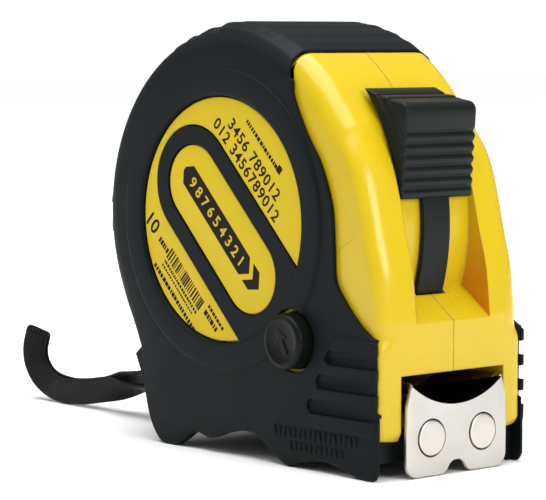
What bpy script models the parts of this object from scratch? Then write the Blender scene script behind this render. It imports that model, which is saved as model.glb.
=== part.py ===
"""A rubber-clad 10 m tape measure with thumb lock, side brake button, magnetic end hook and wrist strap.

Lengths below are millimetres. X runs forward, out of the mouth, from the front face of the grip
blocks; Y runs to the right from the parting plane, so the label side faces -Y; Z runs up from the
floor. new_object() moves everything into the part's own frame, in metres, whose origin is on the
floor under the middle of the case.
"""
import math

import bmesh
import bpy
import numpy as np

MM = 0.001
GAP = 0.3

# Reel axis, which is also the centre of the round case, of the label and of the lock's path.
REEL_X = -49.0
REEL_Z = 50.4

# Case and rubber.
CASE_R = 42.0
TREAD_STEP = 0.8
TREAD_PITCH = 12.0
TREAD_START = 95.0
TREAD_END = 187.0
TREAD_SAG = 0.6
TREAD_LIP = 0.7
SKIN = 2.0
SIDE_Y = 21.2
RAISED_Y = 21.7
SHELL_Y = 20.0
CROWN_Y = 15.9
FLANGE_Y = 19.0
FRONT_X = 0.3
SHELL_BOTTOM = 8.8
SOLE_BOTTOM = 5.9
CAVITY_R = 37.5
CAVITY_Y = 18.0

# Label, its pill and the rubber band round the pill.
LABEL_R = 26.0
LABEL_TOP = 20.9
RING_IN = 26.6
RING_OUT = 32.5
PILL_X = -48.7
PILL_Z = 48.45
PILL_R = 8.2
BAND_R = 12.3
PILL_HALF = 13.2
BAND_RUN = 40.0
PILL_TILT = math.radians(-45)

# Side button.
BUTTON_X = -25.5
BUTTON_Z = 26.5
BUTTON_R = 5.8
BUTTON_TOP = 24.4

# Mouth, blade channel and blade.
MOUTH_TOP = 21.0
MOUTH_Y = 14.7
MOUTH_BACK = -8.0
CHANNEL_Y = 13.4
CHANNEL_LOW = 12.0
CHANNEL_HIGH = 20.8
CHANNEL_BACK = -67.5
BLADE_WIDTH = 25.0
BLADE_THICK = 0.35
BLADE_LOW = 15.0
BLADE_BOW = 20.3
BLADE_BACK = -66.0

# Lock.
LOCK_FRONT = -4.5
LOCK_FLOOR_R = 43.0
LOCK_RECESS_Y = 10.5
LOCK_Y = 10.0
TONGUE_Y = 3.7
TONGUE_R = (43.3, 44.4)
TONGUE_TIP = math.radians(-39.8)
PAD_TIP = math.radians(-41.2)

# Hook.
HOOK_BACK = 0.6
HOOK_FRONT = 1.6
MAGNET_Y = 7.3
MAGNET_Z = 8.0
MAGNET_R = 3.65

# Reel.
COIL_R = 28.3
DRUM_R = 17.0
FLANGE_R = 36.0
FLANGE_IN = 12.9
FLANGE_OUT = 13.9
POST_R = 3.4

# Case screws.
SCREW_R = 1.1
SCREW_HEAD_R = 2.2
SCREW_HEAD = 1.3
SCREW_END = -13.7

# Strap.
PIN_X = -71.2
PIN_Z = 13.0
PIN_R = 1.5
STRAP_WIDTH = 6.2
STRAP_THICK = 1.2
STRAP_SPREAD = 5.4
STRAP_GAP = 2.4
STRAP_FOLD = 1.5

# The far-side clip stands further out than the button, so the middle lies a little to the right.
CLIP_OUT = 28.6
CLIP_THICK = 0.9
REAR_X = REEL_X - CASE_R
SHIFT = np.array([-(REAR_X + 1.9) / 2, (BUTTON_TOP - CLIP_OUT) / 2, 0.0])

YELLOW = ((0.81, 0.60, 0.025), 0.34, 0.0)
RUBBER = ((0.021, 0.026, 0.028), 0.62, 0.0)
BLACK = ((0.028, 0.034, 0.033), 0.45, 0.0)
STEEL = ((0.62, 0.61, 0.59), 0.28, 1.0)
DARK_STEEL = ((0.20, 0.20, 0.21), 0.38, 1.0)
NYLON = ((0.006, 0.006, 0.006), 0.85, 0.0)
LABEL = ((0.86, 0.67, 0.03), 0.42, 0.0)
BLADE = ((0.85, 0.70, 0.05), 0.35, 0.0)


def material(name, finish):
    """A Principled material from (colour, roughness, metallic)."""
    colour, roughness, metallic = finish
    mat = bpy.data.materials.new(name)
    mat.use_nodes = True
    shader = mat.node_tree.nodes["Principled BSDF"]
    shader.inputs["Base Color"].default_value = (*colour, 1.0)
    shader.inputs["Roughness"].default_value = roughness
    shader.inputs["Metallic"].default_value = metallic
    return mat


def new_object(name, bm, finish=None, origin=(0.0, 0.0, 0.0)):
    """Move a mesh from millimetres into the part's frame; the object's origin goes to origin (mm)."""
    base = (np.array(origin, float) + SHIFT) * MM if any(origin) else np.zeros(3)
    for v in bm.verts:
        v.co = (np.array(v.co) + SHIFT) * MM - base
    bmesh.ops.recalc_face_normals(bm, faces=bm.faces)
    mesh = bpy.data.meshes.new(name)
    bm.to_mesh(mesh)
    bm.free()
    obj = bpy.data.objects.new(name, mesh)
    obj.location = base
    bpy.context.scene.collection.objects.link(obj)
    if finish:
        mesh.materials.append(material(name, finish))
    return obj


def rings_solid(rings):
    """A closed solid through rings of equal point count, with a flat cap at each end."""
    bm = bmesh.new()
    rows = [[bm.verts.new(tuple(p)) for p in ring] for ring in rings]
    n = len(rows[0])
    for a, b in zip(rows[:-1], rows[1:]):
        for i in range(n):
            bm.faces.new((a[i], a[(i + 1) % n], b[(i + 1) % n], b[i]))
    bm.faces.new(rows[0])
    bm.faces.new(rows[-1])
    return bm


def prism(outline, y0, y1):
    """An outline of (x, z) points extruded from y0 to y1."""
    return rings_solid([[(x, y, z) for x, z in outline] for y in (y0, y1)])


def turned(profile, x, z, steps=40):
    """A profile of (radius, y) points turned about the Y axis through (x, z), closed on itself."""
    bm = bmesh.new()
    rows = []
    for k in range(steps):
        a = 2 * math.pi * k / steps
        rows.append([bm.verts.new((x + r * math.cos(a), y, z + r * math.sin(a))) for r, y in profile])
    n = len(profile)
    for k in range(steps):
        a, b = rows[k], rows[(k + 1) % steps]
        for i in range(n):
            bm.faces.new((a[i], a[(i + 1) % n], b[(i + 1) % n], b[i]))
    bmesh.ops.remove_doubles(bm, verts=bm.verts, dist=1e-5)
    return bm


def disc(r, x, z, y0, y1, steps=40):
    """A cylinder along Y."""
    return prism(arc(x, z, r, 0, 2 * math.pi, steps + 1)[:-1], y0, y1)


def box(x0, x1, y0, y1, z0, z1):
    """A rectangular block."""
    return prism([(x0, z0), (x1, z0), (x1, z1), (x0, z1)], y0, y1)


def arc(x, z, r, a0, a1, n):
    """n points on a circle of radius r about (x, z), from angle a0 to a1."""
    return [(x + r * math.cos(a), z + r * math.sin(a)) for a in np.linspace(a0, a1, n)]


def reel_arc(r, a0, a1, n):
    """n points on a circle about the reel axis, between two angles in radians."""
    return arc(REEL_X, REEL_Z, r, a0, a1, n)


def sector(r0, r1, a0, a1, n, y):
    """A curved bar about the reel axis, y wide each side of the parting plane."""
    return prism(reel_arc(r1, a0, a1, n) + reel_arc(r0, a1, a0, n), -y, y)


def stadium(x, z, half, r, tilt, n=9):
    """A slot outline: two half circles of radius r, half from the centre along tilt."""
    ux, uz = math.cos(tilt) * half, math.sin(tilt) * half
    q = math.pi / 2
    return arc(x + ux, z + uz, r, tilt - q, tilt + q, n) + arc(x - ux, z - uz, r, tilt + q, tilt + 3 * q, n)


def smooth(t):
    """A smooth step from 0 at t = 0 to 1 at t = 1."""
    t = np.clip(t, 0.0, 1.0)
    return t * t * (3 - 2 * t)


def resample(points, n):
    """n points at equal steps along an open line, both ends included."""
    p = np.array(points, float)
    s = np.concatenate([[0.0], np.cumsum(np.linalg.norm(np.diff(p, axis=0), axis=1))])
    t = np.linspace(0, s[-1], n)
    return np.column_stack([np.interp(t, s, p[:, k]) for k in (0, 1)])


def inset(outline, depth):
    """Move each point of a counter-clockwise outline inwards by its own depth."""
    along = np.roll(outline, -1, axis=0) - np.roll(outline, 1, axis=0)
    along /= np.linalg.norm(along, axis=1)[:, None]
    inward = np.column_stack([-along[:, 1], along[:, 0]])
    return outline + inward * np.broadcast_to(depth, len(outline))[:, None]


def front_crest():
    """The cheeks' side profile, from the top of the grip block up to the round of the case."""
    return [(FRONT_X, 32), (-0.8, 41.6), (-2.9, 49.4), (-4.8, 57), (-7.2, 64), (-11.6, 71.4)]


def case_round(r_front, r_back):
    """The round of the case, from the front crest over the top to the heel; it steps under the rubber."""
    turn = np.arange(42, 213, 2.0)
    r = r_front + (r_back - r_front) * smooth((turn - 57) / 4)
    return [(REEL_X + q * math.cos(a), REEL_Z + q * math.sin(a)) for q, a in zip(r, np.radians(turn))]


def feet():
    """The wavy lower edge of the side skins, from the heel to the front foot."""
    heel = [(-78.2, 19), (-75.4, 13), (-74.4, 8), (-73, 4.4), (-71, 1.6), (-68.6, 0)]
    arches = [(-64.6, 0), (-61.3, 1.6), (-57.8, 3.7), (-52.3, 3), (-46.9, 4.7), (-41, 5.8), (-37, 5.4)]
    front = [(-33.8, 3.5), (-28.7, 0.5), (-26.5, 0.3), (-22.5, 1.4), (-17, 2.3), (-11.4, 1.6), (-5.2, 0)]
    return heel + arches + front + [(-1.6, 0), (-0.3, 1.2), (0, 3), (0, 14)]


def sole():
    """The lower edge between the side skins, which clears the floor."""
    flat = [(-72, SOLE_BOTTOM), (-16, SOLE_BOTTOM), (-15, 8), (-0.3, 8)]
    return [(-78.2, 19), (-75.6, 13), (-74.9, 8)] + flat + [(0, 14)]


def rounding(outline):
    """How much of the edge rounding each point takes: all on the round, none on the grip and feet."""
    x, z = outline[:, 0], outline[:, 1]
    return smooth((z - 8) / 26) * smooth((-x - 6) / 24)


def turn_of(outline):
    """Each point's direction from the reel axis, in degrees, 90 at the crown and 180 at the back."""
    return np.degrees(np.arctan2(outline[:, 1] - REEL_Z, outline[:, 0] - REEL_X)) % 360


def tread_drop(outline):
    """How far each point lies below the top of the tread, which is in blocks round the back."""
    turn = turn_of(outline)
    along = (turn - TREAD_START) % TREAD_PITCH
    block = smooth((along - 1.5) / 1.2) * smooth((TREAD_PITCH - along) / 1.2)
    # The blocks sink a little below the crown at the back of the top and stand out at the last one.
    sag = TREAD_SAG * smooth((turn - 90) / 10) * smooth((152 - turn) / 16)
    last = TREAD_LIP * smooth((turn - 170) / 6) * (turn < TREAD_END)
    return TREAD_STEP * np.where(turn < TREAD_START, 0, 1 - block * (turn < TREAD_END)) + sag - last


def grip_rings(side):
    """The rubber's outer rings from the side face to the parting plane, stepping up at the feet."""
    upper = [(0, 14), (0, 28)] + front_crest() + case_round(CASE_R, CASE_R) + [(-78.2, 19)]
    upper = resample(upper, 92)[:-1]
    wide = np.vstack([resample(feet(), 52)[:-1], upper])
    mid = np.vstack([resample(sole(), 52)[:-1], upper])
    low = np.zeros(len(wide) - len(upper))
    edge = np.concatenate([low, rounding(upper)])
    foot = smooth((11 - wide[:, 1]) / 3)
    behind = np.concatenate([low, TREAD_STEP * smooth((turn_of(upper) - TREAD_START + 3) / 3)])
    rings = []
    for y, depth, small in ((SIDE_Y, 5.7, 0.5), (20.8, 3.6, 0.0), (FLANGE_Y + 0.4, 1.5, 0.0)):
        rings.append((y, inset(wide, depth * edge + small * foot + behind)))
    rings.append((FLANGE_Y, inset(mid, 1.3 * edge + behind)))
    drop = np.concatenate([low, tread_drop(upper)])
    for y, depth in ((17.2, 0.4), (CROWN_Y, 0.0), (GAP / 2, 0.0)):
        rings.append((y, inset(mid, depth * edge + drop)))
    return [[(x, side * y, z) for x, z in ring] for y, ring in rings]


def shell_rings(side, grow=0.0):
    """The yellow shell's outer rings, or those grown by a clearance."""
    under = [(-76.4, 20), (-74.4, 13), (-73.4, SHELL_BOTTOM), (-2.5, SHELL_BOTTOM), (-0.5, 9.6)]
    line = under + [(FRONT_X, 11.5), (FRONT_X, 21)] + front_crest()
    line += case_round(CASE_R, CASE_R - SKIN) + [under[0]]
    base = resample(line, 85)[:-1]
    x, z = base[:, 0], base[:, 1]
    turn = (turn_of(base) + 60) % 360 - 60
    bare = smooth((59 - turn) / 4) * smooth((x + 8) / 4 + smooth((z - 12) / 4))
    cheek = bare * (0.35 + 0.65 * smooth((z - 26) / 4) - 0.4 * smooth((z - 70) / 8))
    hidden = (1 - bare) * (0.3 + 0.7 * smooth((z - 12) / 12))
    rings = []
    levels = ((SHELL_Y, 3.0, 5.0), (19.6, 1.6, 3.4), (18.9, 0.8, 2.2), (17.4, 0.1, 0.8), (15, 0, 0))
    for y, open_edge, covered in levels:
        rings.append((y + grow, inset(base, open_edge * cheek + covered * hidden - grow)))
    rings.append((-1.0 if grow else GAP / 2, rings[-1][1]))
    return [[(x, side * y, z) for x, z in ring] for y, ring in rings]


def cutter(obj):
    """Mark an object as a cutting tool only."""
    obj.hide_render = True
    obj.display_type = "WIRE"
    return obj


def combine(obj, tool, operation="DIFFERENCE"):
    """Cut obj with a tool, or join the tool to it."""
    modifier = obj.modifiers.new(tool.name, "BOOLEAN")
    modifier.operation = operation
    modifier.solver = "EXACT"
    modifier.object = cutter(tool)


def case_cutters(side):
    """Everything that is hollow in one yellow shell, as (name, mesh) pairs."""
    wall = side * CAVITY_Y
    a0, a1 = math.radians(-17.5), math.radians(44)
    recess = reel_arc(LOCK_FLOOR_R, a1, a0, 24) + [(FRONT_X + 0.2, 31.3), (20, 31.3), (20, 100), (-18, 100)]
    tongue = reel_arc(45.0, math.radians(-46), math.radians(-15), 12)
    tongue += reel_arc(LOCK_FLOOR_R - 0.1, math.radians(-15), math.radians(-46), 12)
    cuts = [
        ("cavity", disc(CAVITY_R, REEL_X, REEL_Z, min(-1, wall), max(1, wall), 64)),
        ("channel", box(CHANNEL_BACK, 5, -CHANNEL_Y, CHANNEL_Y, CHANNEL_LOW, CHANNEL_HIGH)),
        ("mouth", box(MOUTH_BACK, 5, -MOUTH_Y, MOUTH_Y, 0, MOUTH_TOP)),
        ("recess", prism(recess, -LOCK_RECESS_Y, LOCK_RECESS_Y)),
        ("tongue_slot", prism(tongue, -TONGUE_Y - 0.5, TONGUE_Y + 0.5)),
        ("strap_slot", box(-84, PIN_X + 3.5, -4.6, 4.6, PIN_Z - 4.3, PIN_Z + 4.3)),
        ("pin_hole", disc(PIN_R + GAP, PIN_X, PIN_Z, -8.3, 8.3, 24)),
        ("post_hole", disc(2.2 + GAP, REEL_X, REEL_Z, -21, 21, 24)),
    ]
    for k, (x, z, top) in enumerate(screw_places()):
        cuts.append((f"screw_hole_{k}", disc(SCREW_R + GAP, x, z, SCREW_END - GAP, top, 16)))
        if side > 0:
            cuts.append((f"head_hole_{k}", disc(SCREW_HEAD_R + GAP, x, z, top - SCREW_HEAD - GAP, 25, 18)))
    if side < 0:
        cuts.append(("button_hole", disc(BUTTON_R + GAP, BUTTON_X, BUTTON_Z, -22, -17, 36)))
        cuts.append(("button_pocket", disc(8.8, BUTTON_X, BUTTON_Z, -CAVITY_Y, -FLANGE_OUT - GAP, 36)))
    return cuts


def screw_places():
    """The three case screws as (x, z, head top): in the front, over the mouth and in the heel."""
    def at(turn, r):
        return REEL_X + r * math.cos(math.radians(turn)), REEL_Z + r * math.sin(math.radians(turn))

    return [(*at(20, 40.3), 18.2), (-4.5, 26.2, 20.2), (*at(233, 39.6), 18.1)]


def make_shell(name, side):
    """One half of the moulded yellow case."""
    obj = new_object(name, rings_solid(shell_rings(side)), YELLOW)
    for label, bm in case_cutters(side):
        combine(obj, new_object(f"cut_{name}_{label}", bm))
    return obj


def bare_front():
    """Outline of the region in front of the rubber's edge, where the yellow case shows."""
    edge = [(-27.4, 110), (-27.4, 84), (-26, 80), (-25.6, 76.7), (-21.5, 69.2), (-17.3, 63.3), (-14, 55)]
    edge += [(-13.2, 46.7), (-12.7, 40), (-9.8, 35.8), (-5.7, 31.7), (-2, 29.2), (0, 28.4)]
    return edge + [(30, 28.4), (30, 110)]


def make_grip(name, side):
    """One rubber skin, with its raised label ring, grip block grooves and feet."""
    obj = new_object(name, rings_solid(grip_rings(side)), RUBBER)
    lo, hi = sorted((side * (SIDE_Y - 0.6), side * RAISED_Y))
    inner, outer = (lo, hi) if side > 0 else (hi, lo)
    low_rim, high_rim = ((RING_IN, inner), (RING_OUT, inner)), ((RING_OUT - 0.5, outer), (RING_IN + 0.5, outer))
    ring = turned([*low_rim, *high_rim], REEL_X, REEL_Z, 48)
    combine(obj, new_object(f"add_{name}_ring", ring), "UNION")
    block = [(-21, 9.5), (-0.2, 9.5), (-0.2, 28), (-12, 28), (-16, 22)]
    combine(obj, new_object(f"add_{name}_block", prism(block, lo, hi)), "UNION")
    combine(obj, new_object(f"cut_{name}_case", rings_solid(shell_rings(side, GAP))))
    combine(obj, new_object(f"cut_{name}_front", prism(bare_front(), -40, 40)))
    out = side * 30
    inner = side * (SHELL_Y - 1)
    y0, y1 = min(out, inner), max(out, inner)
    for k, (z, x) in enumerate(((24.1, -13.8), (18.9, -16.7), (13.6, -19.6))):
        slot = stadium((x + 4) / 2, z, (4 - x) / 2, 1.5, 0, 6)
        low, high = sorted((side * (RAISED_Y - 0.7), side * 30))
        combine(obj, new_object(f"cut_{name}_groove_{k}", prism(slot, low, high)))
    combine(obj, new_object(f"cut_{name}_strap", box(-86, PIN_X + 3.5, -4.9, 4.9, PIN_Z - 4.6, PIN_Z + 4.6)))
    if side < 0:
        round_hole = new_object(f"cut_{name}_label", disc(LABEL_R + GAP, REEL_X, REEL_Z, y0, y1, 56))
        combine(round_hole, new_object(f"cut_{name}_band", prism(band_outline(0.0), y0 - 1, y1 + 1)))
        combine(obj, round_hole)
        pill = stadium(PILL_X, PILL_Z, PILL_HALF, PILL_R + GAP, PILL_TILT, 14)
        combine(obj, new_object(f"cut_{name}_pill", prism(pill, y0, y1)))
        combine(obj, new_object(f"cut_{name}_button", disc(7.0, BUTTON_X, BUTTON_Z, y0, y1, 36)))
    else:
        combine(obj, new_object(f"cut_{name}_label", disc(LABEL_R + GAP, REEL_X, REEL_Z, y0, y1, 56)))
        x, z, _ = screw_places()[1]
        combine(obj, new_object(f"cut_{name}_screw", disc(SCREW_HEAD_R + 0.5, x, z, y0, y1, 20)))
    return obj


def band_outline(grow):
    """The rubber band round the pill, whose straight sides run on down and forward past the label."""
    along = np.array([math.cos(PILL_TILT), math.sin(PILL_TILT)])
    aside = np.array([-along[1], along[0]])
    middle = np.array([PILL_X, PILL_Z])
    r = BAND_R + grow
    q = math.pi / 2
    x0, z0 = middle - along * PILL_HALF
    round_end = arc(x0, z0, r, PILL_TILT + q, PILL_TILT + 3 * q, 18)
    return round_end + [tuple(middle + along * BAND_RUN + aside * r * k) for k in (-1, 1)]


def make_labels():
    """The printed stickers: an open ring and a pill on the left, a disc on the right."""
    low, high = -LABEL_TOP, -(SHELL_Y + GAP)
    ring = new_object("label_ring_left", disc(LABEL_R, REEL_X, REEL_Z, low, high, 56), LABEL)
    combine(ring, new_object("cut_label_band", prism(band_outline(GAP), low - 1, high + 1)))
    pill = stadium(PILL_X, PILL_Z, PILL_HALF, PILL_R, PILL_TILT, 14)
    new_object("label_pill_left", prism(pill, low, high), LABEL)
    right = new_object("label_right", disc(LABEL_R, REEL_X, REEL_Z, SHELL_Y + GAP, LABEL_TOP, 56), LABEL)
    combine(right, new_object("cut_label_right_post", disc(2.8, REEL_X, REEL_Z, 15, 25, 24)))


def make_chin():
    """The black guard under the mouth, between the two skins."""
    outline = [(-14.3, 2.6), (-4, 2.6), (-3, 3.6), (-3, 7.65), (-14.3, 7.65)]
    new_object("chin_guard", prism(outline, -FLANGE_Y + 0.4, FLANGE_Y - 0.4), BLACK)


def make_button():
    """The side brake button with its shoe, return spring and retainer."""
    home = (BUTTON_X, -CAVITY_Y, BUTTON_Z)
    cap = [(0, -BUTTON_TOP), (4.9, -BUTTON_TOP), (BUTTON_R, -23.5), (BUTTON_R, -17.7), (7.6, -17.7)]
    new_object("side_button", turned(cap + [(7.6, -17.0), (0, -17.0)], BUTTON_X, BUTTON_Z, 40), BLACK, home)
    new_object("brake_shoe", disc(3.6, BUTTON_X, BUTTON_Z, -16.7, -16.1, 28), RUBBER, home)
    rim = [(5.2, -14.8), (8.4, -14.8), (8.4, -14.2), (5.2, -14.2)]
    new_object("button_retainer", turned(rim, BUTTON_X, BUTTON_Z, 36), BLACK)
    helix("button_spring", BUTTON_X, BUTTON_Z, 6.6, -16.7, -15.1, 1.6, 0.16)


def helix(name, x, z, r, y0, y1, turns, wire):
    """A coil spring about an axis along Y, as a bevelled curve."""
    count = int(turns * 16)
    curve = bpy.data.curves.new(name, "CURVE")
    curve.dimensions = "3D"
    curve.bevel_depth = wire * MM
    curve.bevel_resolution = 1
    curve.use_fill_caps = True
    spline = curve.splines.new("POLY")
    spline.points.add(count - 1)
    for k in range(count):
        t = k / (count - 1)
        a = 2 * math.pi * turns * t
        p = np.array([x + r * math.cos(a), y0 + (y1 - y0) * t, z + r * math.sin(a)])
        spline.points[k].co = (*((p + SHIFT) * MM), 1.0)
    obj = bpy.data.objects.new(name, curve)
    bpy.context.scene.collection.objects.link(obj)
    curve.materials.append(material(name, STEEL))
    return obj


def make_lock():
    """The thumb lock, which slides down an arc about the reel axis, its tongue and its pad."""
    home = (REEL_X, 0.0, REEL_Z)
    inner = reel_arc(LOCK_FLOOR_R + 0.4, math.radians(40.5), math.radians(7.7), 14)
    ribs = []
    for k in range(6):
        z = 58.2 + 2.3 * k
        x = LOCK_FRONT + 1.2 * (z - 57) / 16
        ribs += [(x, z - 0.55), (x - 0.45, z), (x, z + 0.55)]
    nose = arc(LOCK_FRONT - 0.9, 73.9, 2.1, 0, math.pi / 2, 5)
    top = [(-8.5, 76.5), (-9, 76.1), (-9.5, 76.9), (-11.6, 77.2), (-12.1, 76.8)]
    top += [(-12.6, 77.5), (-15.4, 78.6)]
    outline = inner + [(LOCK_FRONT - 0.2, 56.2)] + ribs + nose + top
    slider = new_object("lock_slider", prism(outline, -LOCK_Y, LOCK_Y), BLACK, home)
    groove = sector(LOCK_FLOOR_R - 1, TONGUE_R[1] + GAP, 0, math.radians(41.9), 16, TONGUE_Y + GAP)
    combine(slider, new_object("cut_lock_groove", groove))
    tongue = sector(*TONGUE_R, TONGUE_TIP, math.radians(30), 30, TONGUE_Y)
    new_object("lock_tongue", tongue, BLACK, home)
    pad = sector(TONGUE_R[0], TONGUE_R[1], PAD_TIP, TONGUE_TIP - math.radians(0.4), 4, TONGUE_Y)
    new_object("lock_brake_pad", pad, RUBBER, home)


def bowed(y, lift):
    """Height of the blade's bow at y, lift above the blade's underside."""
    return BLADE_LOW + lift + BLADE_BOW - math.sqrt(BLADE_BOW**2 - y * y)


def bowed_bar(x0, x1, half, low, high, steps=12):
    """A bar along X whose section follows the blade's bow between two lifts."""
    across = np.linspace(-half, half, steps)
    section = [(y, bowed(y, low)) for y in across] + [(y, bowed(y, high)) for y in across[::-1]]
    return rings_solid([[(x, y, z) for y, z in section] for x in (x0, x1)])


def rivet_places():
    """The three rivets that hold the hook to the blade, seen from above."""
    return [(-4.0, -5.5), (-4.0, 5.5), (-10.0, 0.0)]


def upright(r, x, y, z0, z1, steps=16):
    """A cylinder along Z."""
    rings = []
    turns = np.arange(steps) * 2 * math.pi / steps
    for z in (z0, z1):
        rings.append([(x + r * math.cos(a), y + r * math.sin(a), z) for a in turns])
    return rings_solid(rings)


def make_blade():
    """The straight run of the blade between the coil and the mouth, with its rivet holes."""
    half = BLADE_WIDTH / 2
    home = (FRONT_X, 0.0, BLADE_LOW)
    run = new_object("blade_run", bowed_bar(BLADE_BACK, FRONT_X, half, 0, BLADE_THICK), BLADE, home)
    for k, (x, y) in enumerate(rivet_places()):
        combine(run, new_object(f"cut_blade_{k}", upright(0.9 + GAP, x, y, 10, 22)))
        base = bowed(y, 0)
        rivet = new_object(f"hook_rivet_{k + 1}", upright(0.9, x, y, base - 2.0, base + 1.2), DARK_STEEL, home)
        for part, z0, z1 in (("top", base + 1.05, base + 1.5), ("foot", base - 2.4, base - 1.95)):
            combine(rivet, new_object(f"add_rivet_{k}_{part}", upright(1.4, x, y, z0, z1)), "UNION")


def hook_outline():
    """The end hook's plate, seen from the front: (y, z) points."""
    lobe = arc(-11.3, 3.15, 3.0, math.radians(180), math.radians(270), 6)
    left = [(-13.0, 19.4), (-14.2, 15), (-14.3, 9)] + lobe
    notch = [(-3.8, 0.15), (-2.8, 0.9), (-1.9, 2.2), (-0.9, 2.8)]
    half = left + notch
    top = [(y, 34.4 + 0.6 - math.sqrt(20.3**2 - y * y)) for y in np.linspace(12.4, -12.4, 13)]
    return half + [(-y, z) for y, z in half[::-1]] + top


def make_hook():
    """The magnetic end hook: a plate, its tab under the blade, and two disc magnets."""
    home = (HOOK_BACK, 0.0, BLADE_LOW)
    plate = rings_solid([[(x, y, z) for y, z in hook_outline()] for x in (HOOK_BACK, HOOK_FRONT)])
    hook = new_object("end_hook", plate, STEEL, home)
    tab = bowed_bar(-13.5, 1.2, 8.6, -1.2, -0.35)
    combine(hook, new_object("add_hook_tab", tab), "UNION")
    for k, (x, y) in enumerate(rivet_places()):
        slot = new_object(f"cut_hook_slot_{k}", upright(0.9 + GAP, x, y, 9, 18))
        slide = new_object(f"cut_hook_slide_{k}", box(x - 2.25, x, y - 1.2, y + 1.2, 9, 18))
        combine(hook, slot)
        combine(hook, slide)
    for name, y in (("left", -MAGNET_Y), ("right", MAGNET_Y)):
        hole = forward(MAGNET_R + GAP, y, MAGNET_Z, HOOK_BACK - 1, HOOK_FRONT + 1)
        combine(hook, new_object(f"cut_magnet_{name}", hole))
        new_object(f"magnet_{name}", forward(MAGNET_R, y, MAGNET_Z, 0.45, 1.9), STEEL, home)


def forward(r, y, z, x0, x1, steps=32):
    """A cylinder along X."""
    rings = []
    turns = np.arange(steps) * 2 * math.pi / steps
    for x in (x0, x1):
        rings.append([(x, y + r * math.cos(a), z + r * math.sin(a)) for a in turns])
    return rings_solid(rings)


def make_reel():
    """Drum, flanges, wound blade, main spring, the post they turn on and its screw."""
    home = (REEL_X, 0.0, REEL_Z)
    half = BLADE_WIDTH / 2
    drum = [(DRUM_R - 1.5, -half), (DRUM_R, -half), (DRUM_R, half), (DRUM_R - 1.5, half)]
    new_object("reel_drum", turned(drum, REEL_X, REEL_Z, 32), BLACK, home)
    coil = [(DRUM_R + GAP, -half), (COIL_R, -half), (COIL_R, half), (DRUM_R + GAP, half)]
    new_object("blade_coil", turned(coil, REEL_X, REEL_Z, 48), BLADE, home)
    for name, side in (("left", -1), ("right", 1)):
        y0, y1 = sorted((side * FLANGE_IN, side * FLANGE_OUT))
        rim = [(POST_R + 0.6, y0), (FLANGE_R, y0), (FLANGE_R, y1), (POST_R + 0.6, y1)]
        new_object(f"reel_flange_{name}", turned(rim, REEL_X, REEL_Z, 40), BLACK, home)
    new_object("main_spring", spiral(5.0, 14.6, 4, 0.5, 11.0), DARK_STEEL)
    post = [(1.4, -17.7), (POST_R, -17.7), (POST_R, 17.7), (1.4, 17.7)]
    new_object("axle_post", turned(post, REEL_X, REEL_Z, 28), STEEL)
    head = [(0, 6), (1.1, 6), (1.1, 20.6), (2.1, 20.6), (2.1, 21.5), (0, 21.5)]
    new_object("axle_screw", turned(head, REEL_X, REEL_Z, 20), DARK_STEEL)


def spiral(r0, r1, turns, thick, half):
    """The flat main spring: a strip wound from r0 to r1 about the reel axis."""
    count = turns * 16
    bm = bmesh.new()
    rows = []
    for k in range(count + 1):
        t = k / count
        a = 2 * math.pi * turns * t
        r = r0 + (r1 - r0) * t
        ends = [(r, -half), (r + thick, -half), (r + thick, half), (r, half)]
        c, s = math.cos(a), math.sin(a)
        rows.append([bm.verts.new((REEL_X + q * c, y, REEL_Z + q * s)) for q, y in ends])
    for a, b in zip(rows[:-1], rows[1:]):
        for i in range(4):
            bm.faces.new((a[i], a[(i + 1) % 4], b[(i + 1) % 4], b[i]))
    bm.faces.new(rows[0])
    bm.faces.new(rows[-1])
    return bm


def make_screws():
    """The three case screws, from the right, with their heads sunk in the right shell."""
    for k, (x, z, top) in enumerate(screw_places()):
        neck = top - SCREW_HEAD
        shape = [(0, SCREW_END), (SCREW_R, SCREW_END), (SCREW_R, neck)]
        shape += [(SCREW_HEAD_R, neck), (SCREW_HEAD_R, top), (0, top)]
        new_object(f"case_screw_{k + 1}", turned(shape, x, z, 16), DARK_STEEL)


def strip(points, thick):
    """A closed outline of even thickness along an open line of 2-D points."""
    p = np.array(points, float)
    along = np.gradient(p, axis=0)
    along /= np.linalg.norm(along, axis=1)[:, None]
    side = np.column_stack([-along[:, 1], along[:, 0]]) * thick / 2
    return [tuple(q) for q in np.vstack([p + side, (p - side)[::-1]])]


def make_clip():
    """The spring-steel belt clip on the right, and the screw that holds it."""
    y0 = LABEL_TOP + 0.3 + CLIP_THICK / 2
    run = [(y0, 74), (y0, 66), (y0 + 0.4, 64), (24.6, 61.4), (26.0, 58), (26.4, 52), (26.2, 42), (25.2, 32)]
    run += [(24.9, 28.6), (25.5, 26.4), (26.8, 24.6), (CLIP_OUT - CLIP_THICK / 2, 23.2)]
    rings = [[(x, y, z) for y, z in strip(run, CLIP_THICK)] for x in (REEL_X - 10, REEL_X + 10)]
    clip = new_object("belt_clip", rings_solid(rings), STEEL)
    x, z = REEL_X, 69.0
    combine(clip, new_object("cut_clip_screw", disc(1.5, x, z, 20, 26, 24)))
    combine(bpy.data.objects["label_right"], new_object("cut_label_clip", disc(1.5, x, z, 15, 25, 24)))
    combine(bpy.data.objects["case_shell_right"], new_object("cut_shell_clip", disc(1.5, x, z, 15, 25, 24)))
    shape = [(0, 18.3), (1.2, 18.3), (1.2, 22.4), (3.0, 22.4), (2.4, 23.4), (0, 23.4)]
    new_object("belt_clip_screw", turned(shape, x, z, 22), DARK_STEEL)


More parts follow.
